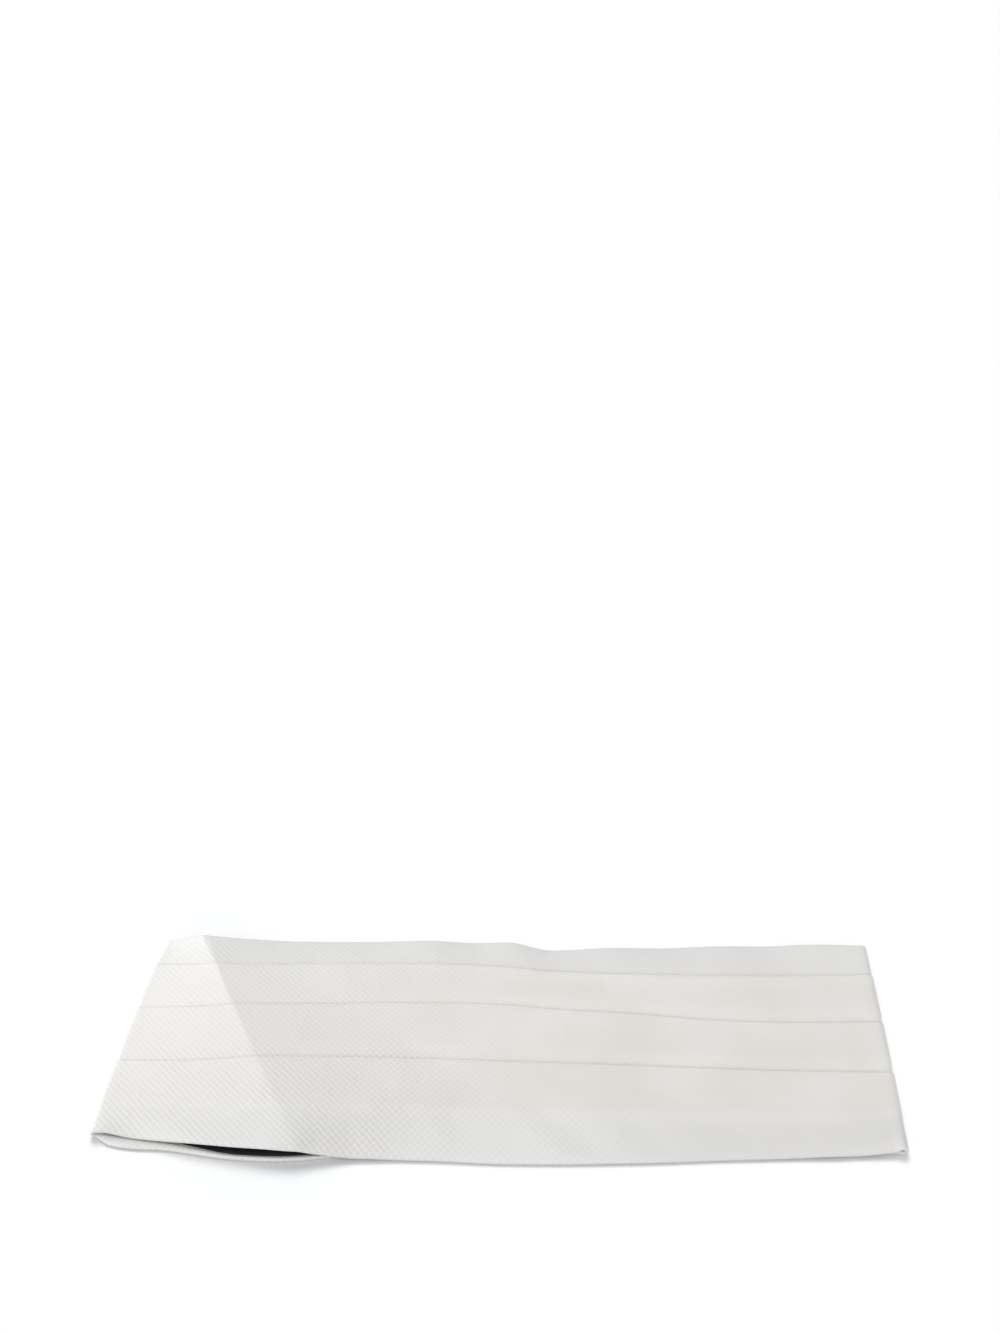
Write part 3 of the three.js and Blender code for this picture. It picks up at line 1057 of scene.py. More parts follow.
@dataclass(frozen=True)
class SilkTwill(Finish):
    """White silk twill: diagonal ribs, a fainter crossing set, fine thread and a soft sheen."""

    name: str = "silk_twill"
    light: tuple[float, ...] = (0.688, 0.673, 0.650, 1)
    # painted shade in the grooves between the ribs
    groove_shade: tuple[float, ...] = (0.580, 0.568, 0.545, 1)
    warm: tuple[float, ...] = (0.648, 0.620, 0.580, 1)
    # painted shade, cool and darker, on the low and top bands that slope away from the light
    slope_shade: tuple[float, ...] = (0.658, 0.649, 0.641, 1)
    # painted shade at the right end of the low band
    shade: tuple[float, ...] = (0.585, 0.575, 0.563, 1)
    dust: tuple[float, ...] = (0.540, 0.528, 0.508, 1)
    roughness: Ramp = Ramp(0.0, 1.0, 0.47, 0.59)
    rib_pitch: float = 2.6 * MM
    cross_pitch: float = 2.8 * MM
    thread_pitch: float = 0.42 * MM
    thread_lean: float = -0.45
    rib_depth: float = 0.105 * MM
    thread_height: float = 0.16
    nap_height: float = 0.10
    # how strongly the painted shade darkens the grooves
    groove_shade_share: float = 0.95

    # How clear the ribs are: fainter towards the right and the far edge, and in slow patches. The
    # crossing set fades out at the left end, and more specks show where the ribs are clear.
    clear_left: Ramp = Ramp(-0.09, 0.01, 0.95, 0.33)
    clear_right: Ramp = Ramp(0.03, 0.14, 1.0, 0.45)
    clear_near: Ramp = Ramp(-0.055, 0.0, 1.0, 0.58)
    patchy: Ramp = Ramp(0.0, 1.0, 0.35, 1.15)
    crossing: Ramp = Ramp(-0.13, -0.05, 0.25, 0.95)
    specks: Ramp = Ramp(0.2, 0.9, 0.05, 0.30)

    # Tones: painted shade, cool and darker, on the low band, whose edge falls to the right, and on the
    # top band, where both bands slope away from the light; more painted shade at the low band's right;
    # and warmer in slow blotches towards the right
    low_band: Ramp = Ramp(-0.056, -0.038, 1.0, 0.0)
    low_band_fall: Ramp = Ramp(0.0, 0.12, 0.0, 0.005)
    low_shade: Ramp = Ramp(0.02, 0.10, 0.0, 0.75)
    top_band: Ramp = Ramp(0.165, 0.190, 0.0, 0.7)
    warmth: Ramp = Ramp(-0.15, 0.06, 0.25, 1.15)

    def looks(self, tree: NodeTree, effects: SharedEffects) -> dict[str, object]:
        """Works out the silk's look.

        Args:
            tree: the material's nodes.
            effects: the shared shader groups.

        Returns:
            The shader's inputs by name.
        """
        flat = tree.add("ShaderNodeUVMap", uv_map="flat_cloth").outputs[0]
        solid = tree.add("ShaderNodeTexCoord").outputs["Object"]
        place = tree.split(solid)
        uneven = tree.use(effects.unevenness, solid, Size=22.0, Speck=1400.0)
        patches = tree.use(effects.unevenness, flat, Size=38.0, Speck=2600.0)
        ribs = tree.use(effects.twill, flat, Pitch=self.rib_pitch, Lean=1.0)
        crossing = tree.use(effects.twill, flat, Pitch=self.cross_pitch, Lean=-1.0)
        thread = tree.use(effects.twill, flat, Pitch=self.thread_pitch, Lean=self.thread_lean)
        clear = tree.math(
            "MULTIPLY", tree.remap(place["X"], self.clear_left), tree.remap(place["X"], self.clear_right)
        )
        clear = tree.math("MULTIPLY", clear, tree.remap(place["Y"], self.clear_near))
        rib_share = tree.math("MULTIPLY", clear, tree.remap(patches["Slow"], self.patchy))
        cross_share = tree.math("MULTIPLY", tree.remap(place["X"], self.crossing), rib_share)
        height = tree.total(
            (ribs["Height"], rib_share),
            (crossing["Height"], cross_share),
            (thread["Height"], self.thread_height),
            (uneven["Fine"], self.nap_height),
        )
        warmth = tree.math("MULTIPLY", uneven["Slow"], tree.remap(place["X"], self.warmth))
        base = self.bands(tree, tree.split(flat), tree.blend(warmth, self.light, self.warm))
        specks = tree.math("MULTIPLY", uneven["Fine"], tree.remap(clear, self.specks))
        base = tree.blend(specks, base, self.dust)
        # the grooves between the ribs are darkened: painted shade in the recesses
        grooves = tree.total((ribs["Groove"], rib_share), (crossing["Groove"], cross_share))
        return {
            "Base Color": tree.blend(tree.math("MULTIPLY", grooves, self.groove_shade_share), base, self.groove_shade),
            "Roughness": tree.remap(uneven["Fine"], self.roughness),
            "Normal": tree.bump(height, self.rib_depth),
            "Specular IOR Level": 0.35,
            "Sheen Weight": 0.22,
            "Sheen Roughness": 0.45,
        }

    def bands(self, tree: NodeTree, flat: bpy.types.NodeOutputs, base: object) -> bpy.types.NodeSocket:
        """Painted shade that changes from band to band, on the bands that slope away from the light.

        Args:
            tree: the material's nodes.
            flat: the place on the flat cloth, along and across.
            base: the colour that they change.

        Returns:
            The changed colour.
        """
        place = tree.math("ADD", flat["Y"], tree.remap(flat["X"], self.low_band_fall))
        low_band = tree.remap(place, self.low_band)
        # painted shade on the sloping low and top bands
        base = tree.blend(tree.math("ADD", low_band, tree.remap(flat["Y"], self.top_band)), base, self.slope_shade)
        # painted shade at the right end of the low band
        low_shade = tree.math("MULTIPLY", low_band, tree.remap(flat["X"], self.low_shade))
        return tree.blend(low_shade, base, self.shade)


@dataclass(frozen=True)
class LiningCloth(Finish):
    """Black lining: a finer, smoother twill with a dull shine."""

    name: str = "lining_cloth"
    dark: tuple[float, ...] = (0.009, 0.010, 0.014, 1)
    # the colour of the painted highlight on the rib crests
    lighter: tuple[float, ...] = (0.020, 0.022, 0.030, 1)
    roughness: Ramp = Ramp(0.0, 1.0, 0.49, 0.63)
    rib_pitch: float = 0.9 * MM
    rib_depth: float = 0.03 * MM
    nap_height: float = 0.3

    def looks(self, tree: NodeTree, effects: SharedEffects) -> dict[str, object]:
        """Works out the lining's look.

        Args:
            tree: the material's nodes.
            effects: the shared shader groups.

        Returns:
            The shader's inputs by name.
        """
        flat = tree.add("ShaderNodeUVMap", uv_map="flat_cloth").outputs[0]
        ribs = tree.use(effects.twill, flat, Pitch=self.rib_pitch, Lean=1.0)
        uneven = tree.use(effects.unevenness, flat, Size=30.0, Speck=1500.0)
        height = tree.total((ribs["Height"], 1.0), (uneven["Fine"], self.nap_height))
        # lighter on the rib crests, in slow patches: painted highlight
        crest_highlight = tree.math("MULTIPLY", ribs["Height"], uneven["Slow"])
        return {
            "Base Color": tree.blend(crest_highlight, self.dark, self.lighter),
            "Roughness": tree.remap(uneven["Slow"], self.roughness),
            "Normal": tree.bump(height, self.rib_depth),
            "Specular IOR Level": 0.3,
        }


@dataclass(frozen=True)
class StrapWeb(Finish):
    """Black ribbed webbing and the thread that it is sewn with: matt, slightly fuzzy yarn."""

    name: str = "strap_web"
    dark: tuple[float, ...] = (0.012, 0.012, 0.014, 1)
    lighter: tuple[float, ...] = (0.035, 0.035, 0.038, 1)
    roughness: Ramp = Ramp(0.0, 1.0, 0.74, 0.90)
    yarn_depth: float = 0.05 * MM

    def looks(self, tree: NodeTree, effects: SharedEffects) -> dict[str, object]:
        """Works out the webbing's look.

        Args:
            tree: the material's nodes.
            effects: the shared shader groups.

        Returns:
            The shader's inputs by name.
        """
        solid = tree.add("ShaderNodeTexCoord").outputs["Object"]
        uneven = tree.use(effects.unevenness, solid, Size=60.0, Speck=1500.0)
        yarn = tree.add("ShaderNodeTexWave", wave_type="BANDS", bands_direction="Y")
        tree.feed(yarn, Vector=solid, Scale=650.0, Distortion=1.5, Detail=1.0)
        height = tree.math("ADD", yarn.outputs[1], uneven["Fine"])
        return {
            "Base Color": tree.blend(uneven["Fine"], self.dark, self.lighter),
            "Roughness": tree.remap(uneven["Slow"], self.roughness),
            "Normal": tree.bump(height, self.yarn_depth),
            "Specular IOR Level": 0.25,
            "Sheen Weight": 0.15,
            "Sheen Roughness": 0.5,
        }


@dataclass(frozen=True)
class ClaspMetal(Finish):
    """Black painted metal with a faint orange peel and lighter rubbed places."""

    name: str = "clasp_metal"
    paint: tuple[float, ...] = (0.018, 0.018, 0.020, 1)
    rubbed: tuple[float, ...] = (0.060, 0.060, 0.064, 1)
    roughness: Ramp = Ramp(0.0, 1.0, 0.36, 0.50)
    peel_depth: float = 0.008 * MM
    rub_sharpness: float = 3.0

    def looks(self, tree: NodeTree, effects: SharedEffects) -> dict[str, object]:
        """Works out the painted metal's look.

        Args:
            tree: the material's nodes.
            effects: the shared shader groups.

        Returns:
            The shader's inputs by name.
        """
        solid = tree.add("ShaderNodeTexCoord").outputs["Object"]
        uneven = tree.use(effects.unevenness, solid, Size=90.0, Speck=2200.0)
        rub = tree.math("POWER", uneven["Slow"], self.rub_sharpness)
        return {
            "Base Color": tree.blend(rub, self.paint, self.rubbed),
            "Roughness": tree.remap(uneven["Slow"], self.roughness),
            "Normal": tree.bump(uneven["Fine"], self.peel_depth),
            "Metallic": 0.35,
            "Coat Weight": 0.2,
            "Coat Roughness": 0.25,
        }


def hand_over(obj: bpy.types.Object, material: bpy.types.Material) -> None:
    """Dresses a finished piece and hangs it on the loop's body.

    Args:
        obj: the piece.
        material: its finish.
    """
    obj.data.materials.clear()
    obj.data.materials.append(material)
    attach(obj, "root")
    LOG.info("%s: %d vertices, %d faces", obj.name, len(obj.data.vertices), len(obj.data.polygons))


def geometry_tree(name: str, sizes: dict[str, float]) -> tuple[NodeTree, bpy.types.Node, bpy.types.Node]:
    """A new Geometry Nodes tree with number inputs and a material input.

    Args:
        name: the tree's name.
        sizes: the names of its number inputs with their usual values.

    Returns:
        The tree, its input node and its output node.
    """
    inputs = {"Geometry": GEOMETRY} | sizes | {"Material": MATERIAL}
    return new_group("GeometryNodeTree", name, inputs, {"Geometry": GEOMETRY})


def finish_tree(
    tree: NodeTree, given: bpy.types.Node, result: bpy.types.Node, shape: bpy.types.NodeSocket
) -> bpy.types.NodeTree:
    """Ends a Geometry Nodes tree: instances are made real and the material is set.

    Args:
        tree: the tree.
        given: its input node.
        result: its output node.
        shape: the geometry that it has made.

    Returns:
        The finished tree.
    """
    real = tree.feed(tree.add("GeometryNodeRealizeInstances"), Geometry=shape).outputs[0]
    dressed = tree.add("GeometryNodeSetMaterial")
    tree.feed(dressed, Geometry=real, Material=given.outputs["Material"])
    tree.feed(result, Geometry=dressed.outputs[0])
    return tree.tree


def grow(obj: bpy.types.Object, group: bpy.types.NodeTree, **inputs: object) -> bpy.types.Object:
    """Runs a Geometry Nodes tree on an object and keeps the result as a plain mesh.

    Args:
        obj: the object that the tree starts from.
        group: the tree.
        inputs: its inputs by name, with _ for spaces.

    Returns:
        The same object.
    """
    modifier = obj.modifiers.new(group.name, "NODES")
    modifier.node_group = group
    named = {item.name: item for item in group.interface.items_tree if item.in_out == "INPUT"}
    for name, value in inputs.items():
        modifier[named[name.replace("_", " ")].identifier] = value
    return settle(obj)


def stitch_tree() -> bpy.types.NodeTree:
    """Running stitches along every edge line of a wire mesh.

    Returns:
        A tree with the inputs Pitch, Stitch Length, Thread Radius and Material.
    """
    sizes = {"Pitch": 3.0 * MM, "Stitch Length": 2.0 * MM, "Thread Radius": 0.15 * MM}
    tree, given, result = geometry_tree("running_stitches", sizes)
    curve = tree.feed(tree.add("GeometryNodeMeshToCurve"), Mesh=given.outputs["Geometry"])
    spaced = tree.add("GeometryNodeCurveToPoints", mode="LENGTH")
    tree.feed(spaced, Curve=curve.outputs["Curve"], Length=given.outputs["Pitch"])
    stitch = tree.feed(tree.add("GeometryNodeMeshUVSphere"), Segments=6, Rings=5, Radius=1.0)
    radius = given.outputs["Thread Radius"]
    half = tree.math("MULTIPLY", given.outputs["Stitch Length"], 0.5)
    size = tree.feed(tree.add("ShaderNodeCombineXYZ"), X=radius, Y=radius, Z=half)
    placed = tree.add("GeometryNodeInstanceOnPoints")
    tree.feed(placed, Points=spaced.outputs["Points"], Instance=stitch.outputs["Mesh"])
    tree.feed(placed, Rotation=spaced.outputs["Rotation"], Scale=size.outputs[0])
    return finish_tree(tree, given, result, placed.outputs["Instances"])


def rib_tree() -> bpy.types.NodeTree:
    """Cross ribs along a flat strap, on both faces, joined to the strap that they start from.

    Returns:
        A tree with the inputs Run, Width, Start, Middle, Level, Rib Pitch, Rib Radius and Material.
    """
    sizes = {"Run": 0.1, "Width": 0.04, "Start": 0.0, "Middle": 0.0, "Level": 0.0}
    sizes |= {"Rib Pitch": 1.5 * MM, "Rib Radius": 0.5 * MM}
    tree, given, result = geometry_tree("cross_ribs", sizes)
    value = given.outputs
    whole = tree.add("FunctionNodeFloatToInt", rounding_mode="FLOOR")
    tree.feed(whole, in_0=tree.math("DIVIDE", value["Run"], value["Rib Pitch"]))
    start = tree.add("ShaderNodeCombineXYZ")
    tree.feed(start, X=value["Start"], Y=value["Middle"], Z=value["Level"])
    step = tree.feed(tree.add("ShaderNodeCombineXYZ"), X=value["Rib Pitch"])
    line = tree.add("GeometryNodeMeshLine", mode="OFFSET")
    tree.feed(line, Count=whole.outputs[0], Start_Location=start.outputs[0], Offset=step.outputs[0])
    rib = tree.add("GeometryNodeMeshCylinder", fill_type="TRIANGLE_FAN")
    tree.feed(rib, Vertices=10, Radius=value["Rib Radius"], Depth=value["Width"])
    placed = tree.add("GeometryNodeInstanceOnPoints")
    tree.feed(placed, Points=line.outputs["Mesh"], Instance=rib.outputs["Mesh"])
    tree.feed(placed, Rotation=(math.pi / 2, 0, 0))
    both = tree.add("GeometryNodeJoinGeometry")
    tree.join(value["Geometry"], both.inputs[0])
    tree.join(placed.outputs["Instances"], both.inputs[0])
    return finish_tree(tree, given, result, both.outputs[0])


@dataclass(frozen=True)
class Stitch:
    """The size of a running stitch."""

    pitch: float
    length: float
    radius: float


@dataclass(frozen=True)
class SewingTrees:
    """The Geometry Nodes trees for what repeats."""

    stitches: bpy.types.NodeTree
    ribs: bpy.types.NodeTree

    @classmethod
    def build(cls) -> "SewingTrees":
        """Builds each tree once."""
        return cls(stitch_tree(), rib_tree())

    def sew(
        self, name: str, lines: list[list[Vector]], stitch: Stitch, material: bpy.types.Material
    ) -> bpy.types.Object:
        """Sews running stitches along lines.

        Args:
            name: the name of the stitches' object.
            lines: the points of each line.
            stitch: the size of a stitch.
            material: the thread's finish.

        Returns:
            The stitches.
        """
        points = []
        edges = []
        for line in lines:
            start = len(points)
            points += line
            edges += [(start + k, start + k + 1) for k in range(len(line) - 1)]
        seam = mesh_object(name, points, edges, [])
        sizes = {"Pitch": stitch.pitch, "Stitch Length": stitch.length, "Thread Radius": stitch.radius}
        grow(seam, self.stitches, Material=material, **sizes)
        seam.data.shade_smooth()
        hand_over(seam, material)
        return seam


@dataclass(frozen=True)
class Pleat:
    """How the plies of one knife pleat lie, as shares of the band between two marks.

    Attributes:
        mark: the mark of its folded edge.
        under: how far back under its band the cloth runs.
        rise: how long the band takes to climb onto the hidden plies.
    """

    mark: int
    under: float
    rise: float


@dataclass
class PleatedPanel:
    """The outer cloth: one sheet of silk twill with turned hems and three real knife pleats."""

    loop: FoldedLoop
    ply: float = 0.30 * MM
    plies_pressed: tuple[float, ...] = (0.32 * MM, 0.66 * MM, 1.0 * MM)
    plies_raised: tuple[float, ...] = (1.0 * MM, 1.40 * MM, 1.78 * MM)
    edge_lift: float = 0.17 * MM
    edge_back: float = 0.4 * MM
    mouth: tuple[float, ...] = (-1.6 * MM, -0.5 * MM, 0.4 * MM)
    gape_span: Span = (0.72, 1.0)
    press_span: Span = (0.04, 0.24)
    band_step: float = 2.3 * MM
    fewest_steps: int = 8
    pleats: tuple[Pleat, ...] = (Pleat(1, 0.50, 0.13), Pleat(2, 0.70, 0.24), Pleat(3, 0.70, 0.24))

    # The turned hem in section, from its raw edge under the lining round to the outside: how far in
    # from the edge, as a share of the turn, and how far out, from the hem's inside to the outside
    HEM_PROFILE = (
        (3.50, 0.386), (2.20, 0.386), (1.35, 0.382), (1.03, 0.320), (0.90, 0.180), (0.75, 0.055),
        (0.50, 0.000), (0.25, 0.055), (0.08, 0.220), (0.00, 0.480), (0.06, 0.750), (0.23, 0.930),
        (0.50, 1.000),
    )

    def hem_rows(self, mark: int, inward: int, taken_up: float) -> list[Row]:
        """Rows across a turned hem, from its raw edge to the outside.

        Args:
            mark: the edge's mark.
            inward: +1 at the near edge and -1 at the far edge.
            taken_up: the cloth that the pleats before it take up.

        Returns:
            The rows.
        """
        inside = self.loop.hem_in + self.ply / 2
        outside = self.loop.cloth_out - self.ply / 2
        rows = []
        for in_share, out_share in self.HEM_PROFILE:
            offset = mix(inside, outside, out_share)
            rows.append(Row(mark, inward * in_share * HEM_TURN, offset, offset, taken_up=taken_up))
        return rows

    def band_rows(self, pleat: Pleat | None, first: int, taken_up: float) -> list[Row]:
        """Rows over a visible band, from the mark before it to its own folded edge.

        Args:
            pleat: the pleat that ends the band, or None for the last band.
            first: the mark that the band starts from.
            taken_up: the cloth that the pleats before it take up.

        Returns:
            The rows.
        """
        low, _, high = self.plies_raised
        pressed_low, _, pressed_high = self.plies_pressed
        height = self.loop.front_height * (MARK_SHARES[first + 1] - MARK_SHARES[first])
        steps = max(self.fewest_steps, round(height / self.band_step))
        rows = []
        for k in range(1, steps):
            t = k / steps
            raised, gape = low, 0.0
            if pleat:
                start = 1 - pleat.under
                raised += (high - low) * smooth_step(start - pleat.rise, start, t)
                raised += self.edge_lift * max(0.0, (t - start) / pleat.under) ** 2
                gape = smooth_step(*self.gape_span, t)
            pressed = pressed_high
            if first > 0:
                pressed = mix(pressed_low, pressed_high, smooth_step(*self.press_span, t))
            rows.append(Row(first + t, 0.0, pressed, raised, gape, first + 1, False, taken_up))
        return rows

    def pleat_rows(self, pleat: Pleat, taken_up: float, hidden: float) -> list[Row]:
        """Rows round a pleat's folded edge, back under its band, round again and out of its mouth.

        Args:
            pleat: the pleat.
            taken_up: the cloth that the pleats before it take up.
            hidden: the cloth that this pleat takes up.

        Returns:
            The rows.
        """
        mark = pleat.mark
        pressed_a, pressed_b, pressed_c = self.plies_pressed
        raised_a, raised_b, raised_c = self.plies_raised
        raised_c += self.edge_lift
        after = taken_up + hidden
        rows = []
        radius = (raised_c - raised_b) / 2
        for turn, cosine, sine in arc((90, 50, 10, -30, -62, -90)):
            lift = (1 + sine) / 2
            inset = radius * (cosine - 1) - (self.edge_back if abs(turn) == 90 else 0)
            pressed = mix(pressed_b, pressed_c, lift)
            raised = mix(raised_b, raised_c, lift)
            rows.append(Row(mark, inset, pressed, raised, lift, mark, turn < 0, taken_up))
        for share in (0.3, 0.7):
            rows.append(Row(mark - pleat.under * share, 0, pressed_b, raised_b, 0, mark, True, taken_up))
        radius = (raised_b - raised_a) / 2
        for turn, cosine, sine in arc((90, 30, -30, -90)):
            lift = (1 + sine) / 2
            pressed = mix(pressed_a, pressed_b, lift)
            raised = mix(raised_a, raised_b, lift)
            carried = taken_up if turn > 0 else after
            inset = radius * (1 - cosine)
            rows.append(Row(mark - pleat.under, inset, pressed, raised, 0, mark, turn > 0, carried))
        for share in (0.7, 0.3):
            rows.append(Row(mark - pleat.under * share, 0, pressed_a, raised_a, 0, mark, False, after))
        return rows + [Row(mark, inset, pressed_a, raised_a, 0, mark, False, after) for inset in self.mouth]

    def rows(self) -> list[Row]:
        """Every row across the cloth, from the near hem's raw edge to the far hem's.

        Returns:
            The rows in order.
        """
        rows = self.hem_rows(0, 1, 0.0)
        taken_up = 0.0
        for k, pleat in enumerate(self.pleats):
            rows += self.band_rows(pleat, k, taken_up)
            hidden = 2 * pleat.under * self.loop.front_height * (MARK_SHARES[k + 1] - MARK_SHARES[k])
            rows += self.pleat_rows(pleat, taken_up, hidden)
            taken_up += hidden
        rows += self.band_rows(None, len(self.pleats), taken_up)
        return rows + self.hem_rows(FAR_MARK, -1, taken_up)[::-1]

    def build(self, material: bpy.types.Material) -> bpy.types.Object:
        """Args:
            material: the silk's finish.

        Returns:
            The cloth.
        """
        stations = self.loop.stations(1.0, tail=26, fold=10, facet=26, flank=150)
        rows = self.rows()
        cloth, area = sheet_object("pleated_cloth", self.loop, stations, rows, self.ply)
        hand_over(cloth, material)
        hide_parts("pleated_panel")
        return cloth


@dataclass
class Lining:
    """The black lining, with its edges turned under along both hems, and its felling stitches."""

    loop: FoldedLoop
    ply: float = 0.20 * MM
    level: float = -1.0 * MM
    under_level: float = -0.72 * MM
    edge: float = 2.5 * MM
    turn_under: float = 1.2 * MM
    stitch_in: float = 1.5 * MM
    stitch: Stitch = Stitch(4.2 * MM, 2.2 * MM, 0.14 * MM)
    band_step: float = 6 * MM
    middle_share: Span = (0.07, 0.93)

    def edge_rows(self, mark: int, inward: int) -> list[Row]:
        """Rows round the lining's turned edge, from its hidden raw edge to its face.

        Args:
            mark: the edge's mark.
            inward: +1 at the near edge and -1 at the far edge.

        Returns:
            The rows.
        """
        nose = (self.level - self.under_level) / 2
        middle = (self.level + self.under_level) / 2
        raw_edge = inward * (self.edge + self.turn_under)
        rows = [Row(mark, raw_edge, self.under_level, self.under_level)]
        for _, cosine, sine in arc((90, 45, 0, -45, -90)):
            offset = middle - nose * sine
            rows.append(Row(mark, inward * (self.edge + abs(nose) * (1 - cosine)), offset, offset))
        return rows + [Row(mark, raw_edge, self.level, self.level)]

    def rows(self) -> list[Row]:
        """Every row across the lining.

        Returns:
            The rows in order.
        """
        steps = round(self.loop.front_height / self.band_step)
        places = [self.across_at(k / steps) for k in range(1, steps)]
        middle = [Row(across, 0.0, self.level, self.level) for across in places]
        return self.edge_rows(0, 1) + middle + self.edge_rows(FAR_MARK, -1)[::-1]

    def across_at(self, share: float) -> float:
        """The place in marks at a share of the lining's middle.

        Args:
            share: the place across, from one turned edge to the other.

        Returns:
            The place counted in marks.
        """
        share = mix(*self.middle_share, share)
        k = max(index for index, value in enumerate(MARK_SHARES) if value <= share)
        return k + (share - MARK_SHARES[k]) / (MARK_SHARES[k + 1] - MARK_SHARES[k])

    def build(self, material: bpy.types.Material, trees: SewingTrees) -> list[bpy.types.Object]:
        """Args:
            material: the lining's finish.
            trees: the trees for what repeats.

        Returns:
            The lining and its stitches.
        """
        loop = self.loop
        stations = loop.stations(loop.lining_end, tail=20, fold=10, facet=14, flank=64)
        cloth, area = sheet_object("lining_sheet", loop, stations, self.rows(), self.ply)
        hand_over(cloth, material)
        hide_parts("lining")
        inset = self.edge + self.stitch_in
        face = self.level - self.ply / 2
        rows = [Row(0, inset, face, face), Row(FAR_MARK, -inset, face, face)]
        lines = [[loop.place(station, row)[0] for station in stations] for row in rows]
        stitches = trees.sew("lining_stitches", lines, self.stitch, material)
        return [cloth, stitches]


@dataclass
class BoxedPiece:
    """What the strap and the clasp have in common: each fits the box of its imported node."""

    low: Vector
    high: Vector

    @classmethod
    def from_frame(cls, node: str) -> "BoxedPiece":
        """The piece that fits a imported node."""
        low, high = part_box(node)
        return cls(Vector(low), Vector(high))

    @property
    def middle(self) -> Vector:
        """The middle of the box."""
        return (self.low + self.high) / 2


@dataclass
class WaistStrap(BoxedPiece):
    """The ribbed strap that joins the tails behind the wearer, with the seams that hold it."""

    rib_pitch: float = 1.5 * MM
    rib_radius: float = 0.50 * MM
    rib_proud: float = 0.12 * MM
    selvedge: float = 1.5 * MM
    seam_in: float = 3.0 * MM
    stitch: Stitch = Stitch(3.0 * MM, 2.2 * MM, 0.17 * MM)
    thread_sunk: float = 0.7
    core_steps: int = 40

    def core(self) -> bpy.types.Object:
        """The strap's body: a flat band with rounded selvedges, a little thinner than its ribs.

        Returns:
            The body.
        """
        half_width = (self.high.y - self.low.y) / 2
        half_wall = (self.high.z - self.low.z) / 2 - self.rib_proud
        section = []
        for side in (1, -1):
            for _, cosine, sine in arc((90, 54, 18, -18, -54, -90)):
                y = self.middle.y + side * (half_width - half_wall + half_wall * cosine)
                section.append((y, self.middle.z + side * half_wall * sine))
        steps = self.core_steps
        places = [mix(self.low.x, self.high.x, k / steps) for k in range(steps + 1)]
        points = [Vector((x, y, z)) for x in places for y, z in section]
        count = len(section)
        faces = [tuple(range(count))[::-1], tuple(range(steps * count, (steps + 1) * count))]
        faces += tube_faces(steps + 1, count, closed=False)
        return face_outwards(mesh_object("ribbed_strap", points, [], faces))

    def seams(self) -> list[list[Vector]]:
        """The seam at each tucked end: two lines across and two along, on the strap's upper face.

        Returns:
            The corners of each seam.
        """
        top = self.high.z + self.stitch.radius * (1 - self.thread_sunk)
        near = self.low.y + self.seam_in
        far = self.high.y - self.seam_in
        lines = []
        for side, edge in ((-1, self.low.x), (1, self.high.x)):
            outer = edge - side * self.seam_in
            inner = edge - side * (STRAP_TUCK - self.seam_in)
            corners = [(outer, near), (outer, far), (inner, far), (inner, near), (outer, near)]
            lines.append([Vector((x, y, top)) for x, y in corners])
        return lines

    def build(self, material: bpy.types.Material, trees: SewingTrees) -> list[bpy.types.Object]:
        """Builds the strap and its seams.

        Args:
            material: the webbing's finish.
            trees: the trees for what repeats.

        Returns:
            The strap and its seams.
        """
        strap = grow(
            self.core(),
            trees.ribs,
            Run=self.high.x - self.low.x - self.rib_pitch,
            Width=self.high.y - self.low.y - 2 * self.selvedge,
            Start=self.low.x + self.rib_pitch,
            Middle=self.middle.y,
            Level=self.middle.z,
            Rib_Pitch=self.rib_pitch,
            Rib_Radius=self.rib_radius,
            Material=material,
        )
        hand_over(strap, material)
        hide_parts("waist_strap")
        return [strap, trees.sew("strap_seams", self.seams(), self.stitch, material)]


